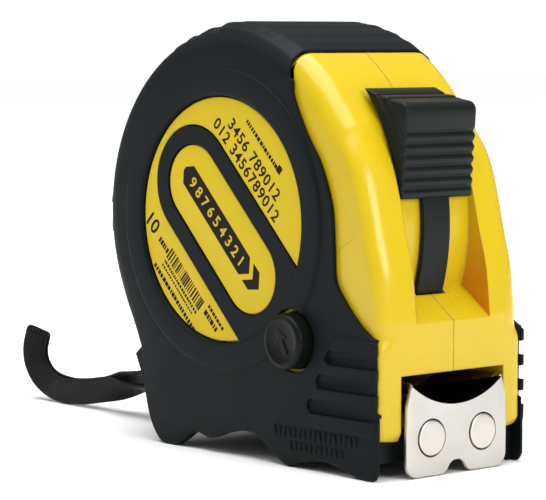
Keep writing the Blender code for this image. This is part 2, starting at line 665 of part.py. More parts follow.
def strap_middle():
    """Middle line between the strap's two layers: back from the pin to the floor and up at the end."""
    line = [(-69.4, 0, 13), (-74, 0, 12.9), (-81, 0, 12.1), (-88, 0, 11.1), (-95, 0, 10.1), (-102, 0, 8.9)]
    line += [(-108, 0, 7.3), (-114, 0, 5.8), (-120, 0, 4.5), (-126, 0, 3.6), (-132, 0, 3.2), (-138, 0, 3.9)]
    line += [(-142.6, 0, 5.9), (-145.3, 0, 9), (-145.9, 0, 12.4), (-144.7, 0, 16.2)]
    return spline_points(line, 2)


def spline_points(points, per):
    """A smooth curve through the points, per steps between each two (Catmull-Rom)."""
    p = np.array(points, float)
    p = np.vstack([2 * p[0] - p[1], p, 2 * p[-1] - p[-2]])
    out = []
    for i in range(1, len(p) - 2):
        a, b, c, d = p[i - 1 : i + 3]
        for t in np.arange(per) / per:
            bend = (2 * a - 5 * b + 4 * c - d) * t**2 + (3 * b - a - 3 * c + d) * t**3
            out.append(0.5 * (2 * b + (c - a) * t + bend))
    out.append(p[-2])
    return np.array(out)


def strap_rings():
    """The webbing's rings, out along the upper layer, round the folded end and back along the lower.

    The two layers leave the pin lying flat, one over the other, and turn onto their edges together.
    """
    line = strap_middle()
    along = np.gradient(line, axis=0)
    along /= np.linalg.norm(along, axis=1)[:, None]
    flat = np.array([0.0, 1.0, 0.0])
    upright = np.cross(along, flat)
    back = -line[:, :1]
    twist = math.radians(90) * smooth((back - 99) / 20) + math.radians(20) * smooth((back - 134) / 12)
    apart = STRAP_SPREAD + (STRAP_GAP - STRAP_SPREAD) * smooth((back - 80) / 32)
    apart -= (STRAP_GAP - STRAP_FOLD) * smooth((back - 134) / 9)
    over = upright * np.cos(twist) - flat * np.sin(twist)
    wide = flat * np.cos(twist) + upright * np.sin(twist)
    rings = [(p + n * h / 2, w, n) for p, n, w, h in zip(line, over, wide, apart)]
    n, w, t = over[-1], wide[-1], along[-1]
    turns = [math.radians(a) for a in (45, 90, 135)]
    tip = [(line[-1] + (n * math.cos(a) + t * math.sin(a)) * STRAP_FOLD / 2, w,
            n * math.cos(a) + t * math.sin(a)) for a in turns]
    rings += tip + [(p - n * h / 2, w, -n) for p, n, w, h in zip(line, over, wide, apart)][::-1]
    out = []
    for p, w, n in rings:
        w, n = w * STRAP_WIDTH / 2, n * STRAP_THICK / 2
        out.append([p + w + n, p - w + n, p - w - n, p + w - n])
    return out


def make_strap():
    """The pin in the heel, the crimped end tab, and the flat webbing loop over and under the pin."""
    new_object("strap_pin", disc(PIN_R, PIN_X, PIN_Z, -8, 8, 20), STEEL)
    tab = box(PIN_X + 2.1, PIN_X + 3.2, -3.4, 3.4, PIN_Z - 3.6, PIN_Z + 3.6)
    new_object("strap_end_tab", tab, BLACK)
    new_object("wrist_strap", rings_solid(strap_rings()), NYLON)


def main():
    """Clear the scene and build every piece."""
    for obj in list(bpy.data.objects):
        bpy.data.objects.remove(obj, do_unlink=True)
    make_shell("case_shell_left", -1)
    make_shell("case_shell_right", 1)
    make_grip("rubber_grip_left", -1)
    make_grip("rubber_grip_right", 1)
    make_labels()
    make_chin()
    make_button()
    make_lock()
    make_blade()
    make_hook()
    make_reel()
    make_screws()
    make_clip()
    make_strap()


main()
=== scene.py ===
"""A rubber-clad 10 m tape measure with thumb lock, side brake button, magnetic hook and wrist strap.

Lengths are millimetres in the maker's frame: X runs forward from the front of the grip blocks, Y to
the right from the parting plane, Z up from the floor. row() carries them into the shared frame.
"""

import math

import bmesh
import bpy
import numpy as np
from mathutils import Matrix, Vector


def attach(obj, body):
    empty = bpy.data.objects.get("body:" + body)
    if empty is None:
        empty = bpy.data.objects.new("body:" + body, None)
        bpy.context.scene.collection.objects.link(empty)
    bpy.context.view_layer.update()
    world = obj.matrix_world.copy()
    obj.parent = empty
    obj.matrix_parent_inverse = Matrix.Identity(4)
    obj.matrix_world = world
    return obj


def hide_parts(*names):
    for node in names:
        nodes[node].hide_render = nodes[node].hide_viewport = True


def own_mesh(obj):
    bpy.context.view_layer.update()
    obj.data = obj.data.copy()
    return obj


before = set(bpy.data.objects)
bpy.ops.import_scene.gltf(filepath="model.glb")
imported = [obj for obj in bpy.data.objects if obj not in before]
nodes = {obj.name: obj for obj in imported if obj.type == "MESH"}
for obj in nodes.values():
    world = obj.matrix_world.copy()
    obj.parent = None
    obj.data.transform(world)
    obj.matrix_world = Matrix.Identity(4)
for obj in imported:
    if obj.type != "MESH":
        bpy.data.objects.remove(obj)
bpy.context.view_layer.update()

# Studio. A pale sheet of card on the table, a wide soft lamp above, one at the left for the rubber's
# edges and one low in front for the steel hook. The camera looks down a little at the front left.
# The white surround lights the object by SKY_LIGHT, and the camera sees it at SKY_SEEN.
SKY_LIGHT = 0.30
SKY_SEEN = 1.1
CARD_HALF = 4.0
CARD_GLOW_FROM = 0.1
CARD_GLOW_TO = 0.4
LAMPS = [
    ("lamp_top", (0.02, -0.05, 0.85), 0.95, 11.0, (1.0, 1.0, 1.0)),
    ("lamp_left", (-0.60, -0.55, 0.60), 0.40, 1.3, (0.95, 0.98, 1.0)),
    ("lamp_front", (0.75, 0.05, 0.35), 0.35, 3.0, (1.0, 0.98, 0.94)),
]
LAMP_AIM = (0, 0, 0.045)
CAMERA_PLACE = (0.41825, -0.3740, 0.0891)
CAMERA_BACK = (0.75364, -0.65209, 0.08211)
CAMERA_TURN = 49.13
LENS = 170.57


class Wire:
    """A socket of a shader graph. Arithmetic on it adds the Math node that does it."""

    def __init__(self, finish, socket):
        self.finish = finish
        self.socket = socket

    def math(self, operation, *values):
        inputs = {k: value for k, value in enumerate(values)}
        return self.finish.node("Math", {"operation": operation}, inputs)

    def __add__(self, other):
        return self.math("ADD", self, other)

    def __sub__(self, other):
        return self.math("SUBTRACT", self, other)

    def __rsub__(self, other):
        return self.math("SUBTRACT", other, self)

    def __mul__(self, other):
        return self.math("MULTIPLY", self, other)

    def __truediv__(self, other):
        return self.math("DIVIDE", self, other)

    def __gt__(self, other):
        return self.math("GREATER_THAN", self, other)

    def __lt__(self, other):
        return self.math("LESS_THAN", self, other)

    def __abs__(self):
        return self.math("ABSOLUTE", self)

    __radd__ = __add__
    __rmul__ = __mul__


class Finish:
    """One surface finish: a material whose nodes are added by node()."""

    def __init__(self, name, **constants):
        self.material = bpy.data.materials.new(name)
        self.material.use_nodes = True
        self.tree = self.material.node_tree
        self.shader = self.tree.nodes["Principled BSDF"]
        self.feed(self.shader, {key.replace("_", " "): value for key, value in constants.items()})
        self.place = self.node("TexCoord", out="Object")

    def feed(self, node, inputs):
        for key, value in inputs.items():
            if isinstance(value, Wire):
                self.tree.links.new(value.socket, node.inputs[key])
            else:
                node.inputs[key].default_value = value

    def node(self, kind, settings=None, inputs=None, out=0):
        """Any node: its type, its settings, a ramp's stops among them, and its sockets' values or links."""
        node = self.tree.nodes.new("ShaderNode" + kind)
        for key, value in (settings or {}).items():
            if key == "stops":
                ramp = node.color_ramp.elements
                while len(ramp) < len(value):
                    ramp.new(0.5)
                for stop, (position, colour) in zip(ramp, value):
                    stop.position = position
                    stop.color = (*colour, 1.0)
            else:
                setattr(node, key, value)
        self.feed(node, inputs or {})
        return Wire(self, node.outputs[out])

    def noise(self, scale, detail=2.0, rough=0.5):
        inputs = {"Vector": self.place, "Scale": scale, "Detail": detail, "Roughness": rough}
        return self.node("TexNoise", {}, inputs)

    def blend(self, mask, a, b):
        """Colour a where mask is 0, b where it is 1."""
        return self.node("Mix", {"data_type": "RGBA"}, {0: mask, 6: a, 7: b}, out=2)

    def bump(self, height, distance, strength=1.0, normal=None):
        inputs = {"Height": height, "Distance": distance, "Strength": strength}
        if normal:
            inputs["Normal"] = normal
        return self.node("Bump", {}, inputs)

    def soft_edges(self, radius):
        """The rounding that a mould leaves on every edge, as a normal."""
        return self.node("Bevel", {"samples": 6}, {"Radius": radius})

    def surface(self, **inputs):
        self.feed(self.shader, {key.replace("_", " "): value for key, value in inputs.items()})
        return self.material


def rgb(r, g, b):
    """A colour from its linear parts, with full alpha."""
    return (r, g, b, 1.0)


def dress(obj, material):
    """Give an object one material in place of what it has."""
    obj.data.materials.clear()
    obj.data.materials.append(material)
    return obj


floor_mesh = bpy.data.meshes.new("floor_card")
card_corners = [(x * CARD_HALF, y * CARD_HALF, 0) for x, y in ((-1, -1), (1, -1), (1, 1), (-1, 1))]
floor_mesh.from_pydata(card_corners, [], [(0, 1, 2, 3)])
floor = bpy.data.objects.new("floor_card", floor_mesh)
bpy.context.scene.collection.objects.link(floor)
card = Finish("floor_card", Roughness=0.9, Specular_IOR_Level=0.1, Emission_Strength=0.7)
card_tone = card.blend(card.noise(3.0), rgb(0.94, 0.94, 0.94), rgb(0.955, 0.955, 0.955))
card_reach = card.node("VectorMath", {"operation": "LENGTH"}, {0: card.place}, out=1)
card_far = card.node(
    "MapRange", {"interpolation_type": "SMOOTHSTEP"}, {0: card_reach, 1: CARD_GLOW_FROM, 2: CARD_GLOW_TO}
)
card_glow = card.blend(card_far, rgb(0, 0, 0), rgb(1, 1, 1))
dress(floor, card.surface(Base_Color=card_tone, Emission_Color=card_glow))

world = bpy.data.worlds.new("studio")
world.use_nodes = True
sky = world.node_tree.nodes["Background"]
sky.inputs["Color"].default_value = rgb(1, 1, 1)
seen = world.node_tree.nodes.new("ShaderNodeLightPath").outputs["Is Camera Ray"]
strength = world.node_tree.nodes.new("ShaderNodeMapRange")
world.node_tree.links.new(seen, strength.inputs["Value"])
strength.inputs["To Min"].default_value = SKY_LIGHT
strength.inputs["To Max"].default_value = SKY_SEEN
world.node_tree.links.new(strength.outputs[0], sky.inputs["Strength"])
bpy.context.scene.world = world

for name, place, size, watts, tint in LAMPS:
    lamp = bpy.data.lights.new(name, "AREA")
    lamp.shape = "DISK"
    lamp.size = size
    lamp.energy = watts
    lamp.color = tint
    lamp_object = bpy.data.objects.new(name, lamp)
    lamp_object.location = place
    lamp_object.rotation_euler = (Vector(LAMP_AIM) - Vector(place)).to_track_quat("-Z", "Y").to_euler()
    bpy.context.scene.collection.objects.link(lamp_object)

camera_back = Vector(CAMERA_BACK).normalized()
camera_right = Vector((math.cos(math.radians(CAMERA_TURN)), math.sin(math.radians(CAMERA_TURN)), 0))
camera_turn = Matrix((camera_right, camera_back.cross(camera_right), camera_back)).transposed()
lens = bpy.data.cameras.new("camera")
lens.sensor_width = 36
lens.lens = LENS
lens.clip_start = 0.02
camera = bpy.data.objects.new("camera", lens)
camera.matrix_world = Matrix.Translation(CAMERA_PLACE) @ camera_turn.to_4x4()
bpy.context.scene.collection.objects.link(camera)
bpy.context.scene.camera = camera
bpy.context.scene.view_settings.view_transform = "Standard"

# Wrist strap. One length of black polyester webbing, 6.2 mm wide, folded into a loop. Its two ends are
# crimped in a small tab inside the heel, over and under a steel pin; behind the heel the two layers
# turn onto their edges and lie on the table, and the folded end curls up.
SHIFT = np.array([44.55, -2.1, 0.0])
MM = 0.001
MERGE = 1e-7
STRAP_WIDTH = 6.2
STRAP_THICK = 1.1
STRAP_SPREAD = 5.4
STRAP_GAP = 2.4
STRAP_FOLD = 1.5
STRAP_CLOSES = 80
STRAP_TURNS = 99
STRAP_CURLS = 134
STRAP_SIDES = 24
STRAP_LINE = [(-69.4, 0, 13), (-74, 0, 12.9), (-81, 0, 12.1), (-88, 0, 11.1), (-95, 0, 10.1), (-102, 0, 8.9)]
STRAP_LINE += [(-108, 0, 7.3), (-114, 0, 5.8), (-120, 0, 4.5), (-126, 0, 3.6), (-132, 0, 3.2), (-138, 0, 3.9)]
STRAP_LINE += [(-142.6, 0, 5.9), (-145.3, 0, 9), (-145.9, 0, 12.4), (-144.7, 0, 16.2)]


def row(points):
    """Points in millimetres of the maker's frame, as metres in the shared frame."""
    return (np.asarray(points, float) + SHIFT) * MM


def smooth(t):
    """A smooth step, 3t^2 - 2t^3, from 0 at t = 0 to 1 at t = 1."""
    t = np.clip(t, 0.0, 1.0)
    return t * t * (3 - 2 * t)


def curve_through(points, per):
    """The Catmull-Rom cubic through the points, with per samples between each two, as one array."""
    p = np.asarray(points, float)
    p = np.vstack([2 * p[0] - p[1], p, 2 * p[-1] - p[-2]])
    t = (np.arange(per) / per)[None, :, None]
    a, b, c, d = (p[i : len(p) - 3 + i, None, :] for i in range(4))
    cubic = (c - a) * t + (2 * a - 5 * b + 4 * c - d) * t**2 + (3 * b - a - 3 * c + d) * t**3
    return np.vstack([(b + 0.5 * cubic).reshape(-1, p.shape[1]), p[-2]])


def sheet_mesh(name, grid, ring=False):
    """A mesh over a grid of points, rows by columns, whose last column joins its first.

    The first and last row are capped; ring joins them to each other in place of the caps.
    """
    rows, columns = grid.shape[:2]
    number = np.arange(rows * columns).reshape(rows, columns)
    if ring:
        number = np.vstack([number, number[:1]])
    right = np.roll(number, -1, axis=1)
    quads = np.stack([number[:-1], right[:-1], right[1:], number[1:]], axis=-1).reshape(-1, 4)
    caps = [] if ring else [tuple(number[0, ::-1]), tuple(number[-1])]
    mesh = bpy.data.meshes.new(name)
    mesh.from_pydata(row(grid.reshape(-1, 3)).tolist(), [], quads.tolist() + caps)
    return mesh


def mend(mesh):
    """The same mesh with its doubles merged and every face pointing outwards."""
    bm = bmesh.new()
    bm.from_mesh(mesh)
    bmesh.ops.remove_doubles(bm, verts=bm.verts, dist=MERGE)
    bmesh.ops.recalc_face_normals(bm, faces=bm.faces)
    bm.to_mesh(mesh)
    bm.free()
    return mesh


def piece(name, mesh, material, body, replaced=(), angle=35):
    """Put a mesh in the scene as a piece that rides on a body and stands for its CAD nodes."""
    mend(mesh)
    mesh.shade_smooth()
    mesh.set_sharp_from_angle(angle=math.radians(angle))
    obj = bpy.data.objects.new(name, mesh)
    bpy.context.scene.collection.objects.link(obj)
    dress(obj, material)
    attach(obj, body)
    if replaced:
        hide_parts(*replaced)
    return obj


def strap_layers():
    """Centre, width direction and thickness direction along both layers, out and back round the fold.

    Each layer lies half their distance over or under the line. The twist is a smooth step of 90
    degrees and one of 20 more; the fold is a half circle between the layers' ends.
    """
    line = curve_through(STRAP_LINE, 8)
    along = np.gradient(line, axis=0)
    along /= np.linalg.norm(along, axis=1)[:, None]
    flat = np.array([0.0, 1.0, 0.0])
    upright = np.cross(along, flat)
    back = -line[:, :1]
    twist = math.radians(90) * smooth((back - STRAP_TURNS) / 20)
    twist += math.radians(20) * smooth((back - STRAP_CURLS) / 12)
    apart = STRAP_SPREAD + (STRAP_GAP - STRAP_SPREAD) * smooth((back - STRAP_CLOSES) / 32)
    apart -= (STRAP_GAP - STRAP_FOLD) * smooth((back - STRAP_CURLS) / 9)
    over = upright * np.cos(twist) - flat * np.sin(twist)
    wide = flat * np.cos(twist) + upright * np.sin(twist)
    turn = np.radians(np.arange(20, 180, 20))[:, None]
    fold_over = over[-1] * np.cos(turn) + along[-1] * np.sin(turn)
    fold = line[-1] + fold_over * STRAP_FOLD / 2
    centre = np.vstack([line + over * apart / 2, fold, (line - over * apart / 2)[::-1]])
    width = np.vstack([wide, np.repeat(wide[-1:], len(turn), axis=0), wide[::-1]])
    thick = np.vstack([over, fold_over, -over[::-1]])
    return centre, width, thick


def strap_section():
    """The webbing's section in half widths: a squared oval, |x|^(2/0.35) + |y|^(2/0.6) = 1."""
    a = np.arange(STRAP_SIDES) * 2 * np.pi / STRAP_SIDES
    return np.sign(np.cos(a)) * np.abs(np.cos(a)) ** 0.35, np.sign(np.sin(a)) * np.abs(np.sin(a)) ** 0.6


strap_centre, strap_across, strap_through = strap_layers()
section_across, section_through = strap_section()
strap_grid = (
    strap_centre[:, None]
    + strap_across[:, None] * section_across[None, :, None] * STRAP_WIDTH / 2
    + strap_through[:, None] * section_through[None, :, None] * STRAP_THICK / 2
)
strap_mesh = sheet_mesh("wrist_strap_webbing", strap_grid)
strap_run = np.concatenate([[0], np.cumsum(np.linalg.norm(np.diff(strap_centre, axis=0), axis=1))])


def write_uv(mesh, u, v):
    """A UV map from one u and one v per vertex."""
    layer = mesh.uv_layers.new(name="lay")
    corner = np.empty(len(mesh.loops), int)
    mesh.loops.foreach_get("vertex_index", corner)
    layer.data.foreach_set("uv", np.column_stack([u[corner], v[corner]]).astype(np.float32).ravel())


lay_u = np.repeat(strap_run, STRAP_SIDES) / 10
lay_v = np.tile(section_across * STRAP_WIDTH / 2, len(strap_run)) / 10
write_uv(strap_mesh, lay_u, lay_v)

webbing = Finish("black_webbing", Specular_IOR_Level=0.12, Sheen_Weight=0.01, Sheen_Roughness=0.4)
lay = webbing.node("UVMap", {"uv_map": "lay"})
lay_along = webbing.node("SeparateXYZ", {}, {0: lay})
lay_across = Wire(webbing, lay_along.socket.node.outputs[1])
ribs = lay_along.math("SINE", lay_along * (2 * math.pi / 0.08))
cords = lay_across.math("SINE", lay_across * (2 * math.pi / 0.085))
weave = ribs * cords
thread = webbing.blend(weave * 0.5 + 0.5, rgb(0.0015, 0.0015, 0.002), rgb(0.005, 0.005, 0.0055))
worn = webbing.noise(260.0, 3.0)
webbing.surface(Base_Color=thread, Roughness=worn * 0.2 + 0.26, Normal=webbing.bump(weave, 0.00018, 0.8))

wrist_strap = piece("wrist_strap_webbing", strap_mesh, webbing.material, "case", ["wrist_strap"], angle=60)


# Strap pin and end tab, inside the heel: a bright dowel pressed through both shells, and the black
# crimp that holds the webbing's two cut ends.
STEEL_TINT = rgb(0.60, 0.585, 0.56)


def metal(name, colour, rough, brush=420.0, streak=(1.0, 1.0, 1.0), grain=0.00003):
    """Steel: fine marks stretched along one axis, a little darker and rougher in patches."""
    steel = Finish(name, Metallic=1.0)
    stretched = steel.node("Mapping", {}, {"Vector": steel.place, "Scale": streak})
    marks = steel.node("TexNoise", {}, {"Vector": stretched, "Scale": brush, "Detail": 3.0})
    patches = steel.noise(90.0, 3.0)
    tone = steel.blend(patches, colour, tuple(0.86 * c for c in colour[:3]) + (1.0,))
    steel.surface(
        Base_Color=tone,
        Roughness=marks * 0.12 + patches * 0.10 + (rough - 0.11),
        Normal=steel.bump(marks, grain, 0.5, steel.soft_edges(0.0002)),
    )
    return steel.material


def moulded(name, colour, rough, edge=0.0003, grain=1500.0, depth=0.00003, wear=0.08, **constants):
    """Moulded plastic or rubber: soft edges, a fine spark texture, and faint handling marks."""
    skin = Finish(name, **constants)
    spark = skin.noise(grain, 2.0)
    smears = skin.noise(70.0, 4.0, 0.6)
    lifted = tuple(c * (1 + wear) + 0.02 * wear for c in colour[:3]) + (1.0,)
    tone = skin.blend(smears, tuple(c * (1 - wear) for c in colour[:3]) + (1.0,), lifted)
    skin.surface(
        Base_Color=tone,
        Roughness=smears * 0.12 + spark * 0.05 + (rough - 0.085),
        Normal=skin.bump(spark, depth, 0.6, skin.soft_edges(edge)),
    )
    return skin.material


bright_steel = metal("bright_steel", STEEL_TINT, 0.30)
dark_steel = metal("blackened_steel", rgb(0.16, 0.16, 0.165), 0.40)
black_plastic = moulded("black_plastic", rgb(0.006, 0.0088, 0.008), 0.36, Specular_IOR_Level=0.15)
dress(nodes["strap_pin"], bright_steel)
dress(nodes["strap_end_tab"], black_plastic)

# Yellow case. Two halves of glossy ABS, 2 mm thick, meeting on the parting plane: round over the reel,
# straight down the front, open at the mouth for the blade and at the top front for the thumb lock.
REEL = np.array([-49.0, 50.4])
CASE_R = 42.0
SKIN = 2.0
GAP = 0.3
SHELL_Y = 20.0
FRONT = 0.3
CREST = [(FRONT, 32), (-0.8, 41.6), (-2.9, 49.4), (-4.8, 57), (-7.2, 64), (-11.6, 71.4)]
SHELL_UNDER = [(-76.4, 20), (-74.4, 13), (-73.4, 8.8), (-3.4, 8.8), (-2.9, 8.0), (-1.9, 7.5), (-0.7, 7.8)]
SHELL_UNDER += [(FRONT, 9.4), (FRONT, 21)]
REEL_ROOM = 37.5
LOCK_FLOOR = 43.0
LOCK_HALF = 10.5
LEDGE = 31.3
SHELL_SEAM = 0.06
BUTTON = np.array([-25.5, 26.5])
CLIP_SCREW = (REEL[0], 69)
YELLOW = rgb(0.565, 0.405, 0.006)


def even_steps(points, count):
    """count points at equal distances along an open line, both ends included."""
    p = np.asarray(points, float)
    run = np.concatenate([[0.0], np.cumsum(np.linalg.norm(np.diff(p, axis=0), axis=1))])
    at = np.linspace(0, run[-1], count)
    return np.column_stack([np.interp(at, run, p[:, k]) for k in range(p.shape[1])])


def even_loop(outline, count):
    """count points at equal distances round a closed outline."""
    return even_steps(np.vstack([outline, outline[:1]]), count + 1)[:-1]


def inset(outline, depth):
    """A counter-clockwise outline with each point moved inwards, square to it, by its own depth."""
    along = np.roll(outline, -1, axis=0) - np.roll(outline, 1, axis=0)
    along /= np.linalg.norm(along, axis=1)[:, None] + 1e-12
    return outline + np.column_stack([-along[:, 1], along[:, 0]]) * np.reshape(depth, (-1, 1))


def arc_about(centre, r, a0, a1, count):
    """count points of a circle about centre, from angle a0 to a1 in degrees."""
    a = np.radians(np.linspace(a0, a1, count))
    return np.column_stack([centre[0] + r * np.cos(a), centre[1] + r * np.sin(a)])


def circle(centre, r, count):
    """count points once round a circle."""
    return arc_about(centre, r, 0, 360, count + 1)[:-1]


def about_reel(r, degrees):
    """The point at a distance r from the reel axis, in a direction from it."""
    a = math.radians(degrees)
    return REEL + r * np.array([math.cos(a), math.sin(a)])


CASE_SCREWS = [(*about_reel(40.3, 20), 18.2), (-4.5, 26.2, 20.2), (*about_reel(39.6, 233), 18.1)]


def direction(outline):
    """Each point's direction from the reel axis in degrees: 0 forward, 90 up, 180 back."""
    return (np.degrees(np.arctan2(outline[:, 1] - REEL[1], outline[:, 0] - REEL[0])) + 60) % 360 - 60


def case_round(r_front, r_back):
    """The round over the reel, from the front crest to the heel, stepping from one radius to the other."""
    turn = np.arange(42, 212.5, 0.5)
    r = r_front + (r_back - r_front) * smooth((turn - 57) / 4)
    return REEL + r[:, None] * np.column_stack([np.cos(np.radians(turn)), np.sin(np.radians(turn))])


def levels(outlines, heights):
    """A grid through outlines of (x, z) points, each at its own y."""
    xz = np.stack(outlines)
    y = np.broadcast_to(np.reshape(heights, (-1, 1)), xz.shape[:2])
    return np.stack([xz[..., 0], y, xz[..., 1]], axis=-1)


def on_side(grid, side):
    """A grid made on the right side, carried over to its side: 1 is right and -1 is left."""
    return grid * (1, side, 1)


def bar(outline, y0, y1):
    """A straight bar: one outline of (x, z) points carried from y0 to y1."""
    return levels([np.asarray(outline, float)] * 2, [y0, y1])


def rod(centre, r, y0, y1, count=48):
    """A round bar along Y."""
    return bar(circle(centre, r, count), y0, y1)


def block(x0, x1, y0, y1, z0, z1):
    """A rectangular bar."""
    return bar([(x0, z0), (x1, z0), (x1, z1), (x0, z1)], y0, y1)


def eased_bar(outline, y0, y1, ease):
    """A bar along Y whose ends are drawn in: ease lists (how far in, at which distance from the end)."""
    depths, steps = np.array(ease, float).T
    outlines = [inset(outline, depth) for depth in [*depths, *depths[::-1]]]
    return levels(outlines, [*(y0 + steps), *(y1 - steps)[::-1]])


def lathe(profile, centre, count=64):
    """A profile of (radius, y) points turned about the Y axis through centre (x, z)."""
    p = np.asarray(profile, float)
    a = np.arange(count) * 2 * np.pi / count
    x = centre[0] + p[:, :1] * np.cos(a)
    z = centre[1] + p[:, :1] * np.sin(a)
    return np.stack([x, np.broadcast_to(p[:, 1:], x.shape), z], axis=-1)


def shape_boolean(mesh, grids, operation="DIFFERENCE"):
    """Cut the grids' solids out of a mesh, or join them to it, and return the finished mesh."""
    body = bpy.data.objects.new("work", mesh)
    bpy.context.scene.collection.objects.link(body)
    tools = []
    for k, grid in enumerate(grids):
        tool_mesh = grid if isinstance(grid, bpy.types.Mesh) else sheet_mesh(f"tool_{k}", grid)
        tool = bpy.data.objects.new(f"tool_{k}", mend(tool_mesh))
        bpy.context.scene.collection.objects.link(tool)
        modifier = body.modifiers.new(f"tool_{k}", "BOOLEAN")
        modifier.operation = operation
        modifier.solver = "MANIFOLD"
        modifier.object = tool
        tools.append(tool)
    bpy.context.view_layer.update()
    done = bpy.data.meshes.new_from_object(body.evaluated_get(bpy.context.evaluated_depsgraph_get()))
    for obj in [body, *tools]:
        bpy.data.objects.remove(obj, do_unlink=True)
    return done


def closed_mesh(name, grid, ring=False):
    """A mesh over a grid, its doubles merged and its faces outwards, ready to be cut."""
    return mend(sheet_mesh(name, grid, ring))


def shell_grid(side, grow=0.0):
    """One half shell, or that grown by a clearance.

    The side view's outline is carried from the parting plane to the side, moved inwards near the
    side by r (1 - sqrt(1 - t^2)): r is up to 3 mm on the bare cheeks and 5 mm under the rubber.
    """
    line = np.vstack([SHELL_UNDER, curve_through(CREST, 12), case_round(CASE_R, CASE_R - SKIN)])
    base = even_loop(line, 520)
    x, z = base[:, 0], base[:, 1]
    bare = smooth((59 - direction(base)) / 4) * smooth((x + 8) / 4 + smooth((z - 12) / 4))
    cheek = bare * (0.35 + 0.65 * smooth((z - 26) / 4) - 0.4 * smooth((z - 70) / 8))
    hidden = (1 - bare) * (0.3 + 0.7 * smooth((z - 12) / 12))
    t = np.sin(np.linspace(0, 0.5 * np.pi, 10))
    fall = 1 - np.sqrt(1 - t**2)
    outlines = [inset(base, (3 * cheek + 5 * hidden) * f - grow) for f in fall[::-1]]
    heights = (15 + 5 * t[::-1]) + grow
    seam = -1.0 if grow else SHELL_SEAM
    return on_side(levels(outlines + [outlines[-1]], [*heights, seam]), side)


def shell_cuts(side):
    """What is hollow in one half shell: reel, blade channel, mouth, lock recess and the fixings."""
    recess = [(0.5, LEDGE), (20, LEDGE), (20, 100), (-18, 100)]
    recess = np.vstack([arc_about(REEL, LOCK_FLOOR, 44, -17.5, 60), recess])
    tongue = np.vstack([arc_about(REEL, 45, -46, -15, 24), arc_about(REEL, LOCK_FLOOR - 0.1, -15, -46, 24)])
    low, high = sorted((-side, side * 18))
    cuts = [
        rod(REEL, REEL_ROOM, low, high, 128),
        block(-67.5, 5, -13.4, 13.4, 12, 20.8),
        block(-8, 5, -14.7, 14.7, 0, 21),
        bar(recess, -LOCK_HALF, LOCK_HALF),
        bar(tongue, -4.2, 4.2),
        block(-84, -67.7, -4.6, 4.6, 8.7, 17.3),
        rod((-71.2, 13), 1.8, -8.3, 8.3),
        rod(REEL, 2.5, -21, 21),
    ]
    for x, z, top in CASE_SCREWS:
        cuts.append(rod((x, z), 1.4, -14, top, 24))
        if side > 0:
            cuts.append(rod((x, z), 2.5, top - 1.6, 25, 32))
    if side < 0:
        cuts += [rod(BUTTON, 6.1, -22, -17, 64), rod(BUTTON, 8.8, -18, -14.2, 64)]
    else:
        cuts.append(rod(CLIP_SCREW, 1.5, 15, 25, 24))
    return cuts


# The moulding is clean and bright outside. Painted shade turns it a deeper orange low on the lock recess's
# two side walls, standing in for the shade and reflected orange light inside the recess.
abs_yellow = Finish("yellow_abs", Specular_IOR_Level=0.32, Coat_Roughness=0.1)
abs_x = abs_yellow.node("SeparateXYZ", {}, {0: abs_yellow.place})
abs_y, abs_z = (Wire(abs_yellow, abs_x.socket.node.outputs[k]) for k in (1, 2))
abs_clouds = abs_yellow.noise(28.0, 3.0)
abs_grain = abs_yellow.noise(900.0, 2.0)
abs_tone = abs_yellow.blend(abs_clouds, YELLOW, rgb(0.555, 0.392, 0.005))
# Painted shade: the recess's side walls blend to deep orange towards their bottom, between z 62 mm and 34 mm.
wall = (abs(abs(abs_y * 1000.0 - SHIFT[1]) - LOCK_HALF) < 0.1) * (abs_z > 0.0316)
low_wall_shade = abs_yellow.node("MapRange", {"interpolation_type": "SMOOTHSTEP"}, {0: abs_z, 1: 0.062, 2: 0.034})
abs_yellow.surface(
    Base_Color=abs_yellow.blend(wall * low_wall_shade * 0.9, abs_tone, rgb(0.60, 0.20, 0.004)),
    Coat_Weight=abs_clouds * 0.1 + 0.1,
    Roughness=abs_clouds * 0.12 + abs_grain * 0.04 + 0.20,
    Normal=abs_yellow.bump(abs_grain, 0.00001, 0.4, abs_yellow.soft_edges(0.0006)),
)
for name, side in (("left", -1), ("right", 1)):
    shell = shape_boolean(closed_mesh(f"case_{name}", shell_grid(side)), shell_cuts(side))
    shell_piece = piece(f"case_half_{name}", shell, abs_yellow.material, "case", [f"case_shell_{name}"])

# Rubber skins. Soft black thermoplastic rubber moulded over each half: a thick tread in blocks round
# the back, a raised ring and a band on the label side, the ribbed grip block in front, and wavy feet.
SIDE_Y = 21.2
RAISED_Y = 21.7
SOLE = 5.9
HEEL_POINT = (-78.2, 19)
TREAD_STEP = 0.8
TREAD_PITCH = 12.0
TREAD_FROM = 95.0
TREAD_TO = 187.0
LABEL_R = 26.0
PILL = np.array([-48.7, 48.45])
PILL_HALF = 13.2
PILL_R = 8.2
BAND_R = 12.3
ALONG = np.array([math.sqrt(0.5), -math.sqrt(0.5)])
ASIDE = np.array([math.sqrt(0.5), math.sqrt(0.5)])
FORWARD = np.array([1.0, 0.0])
RUBBER = rgb(0.0028, 0.0052, 0.0064)
FEET = [HEEL_POINT, (-75.4, 13), (-74.4, 8), (-73, 4.4), (-71, 1.6), (-68.6, 0.05), (-64.6, 0.05)]
FEET += [(-61.3, 1.6), (-57.8, 3.7), (-55, 3.4), (-52.3, 3), (-46.9, 4.7), (-41, 5.8), (-37, 5.4)]
FEET += [(-33.8, 3.5), (-28.7, 0.5), (-26.5, 0.3), (-22.5, 1.4), (-17, 2.3), (-11.4, 1.6), (-5.2, 0.05)]
FEET += [(-1.6, 0.05), (-0.3, 1.2), (0, 3), (0, 14)]
UNDER = [HEEL_POINT, (-75.6, 13), (-74.9, 8), (-72, SOLE), (-16, SOLE), (-15, 8), (-0.3, 8), (0, 14)]
BARE = [(-27.4, 110), (-27.4, 84), (-26, 80), (-25.6, 76.7), (-21.5, 69.2), (-17.3, 63.3), (-14, 55)]
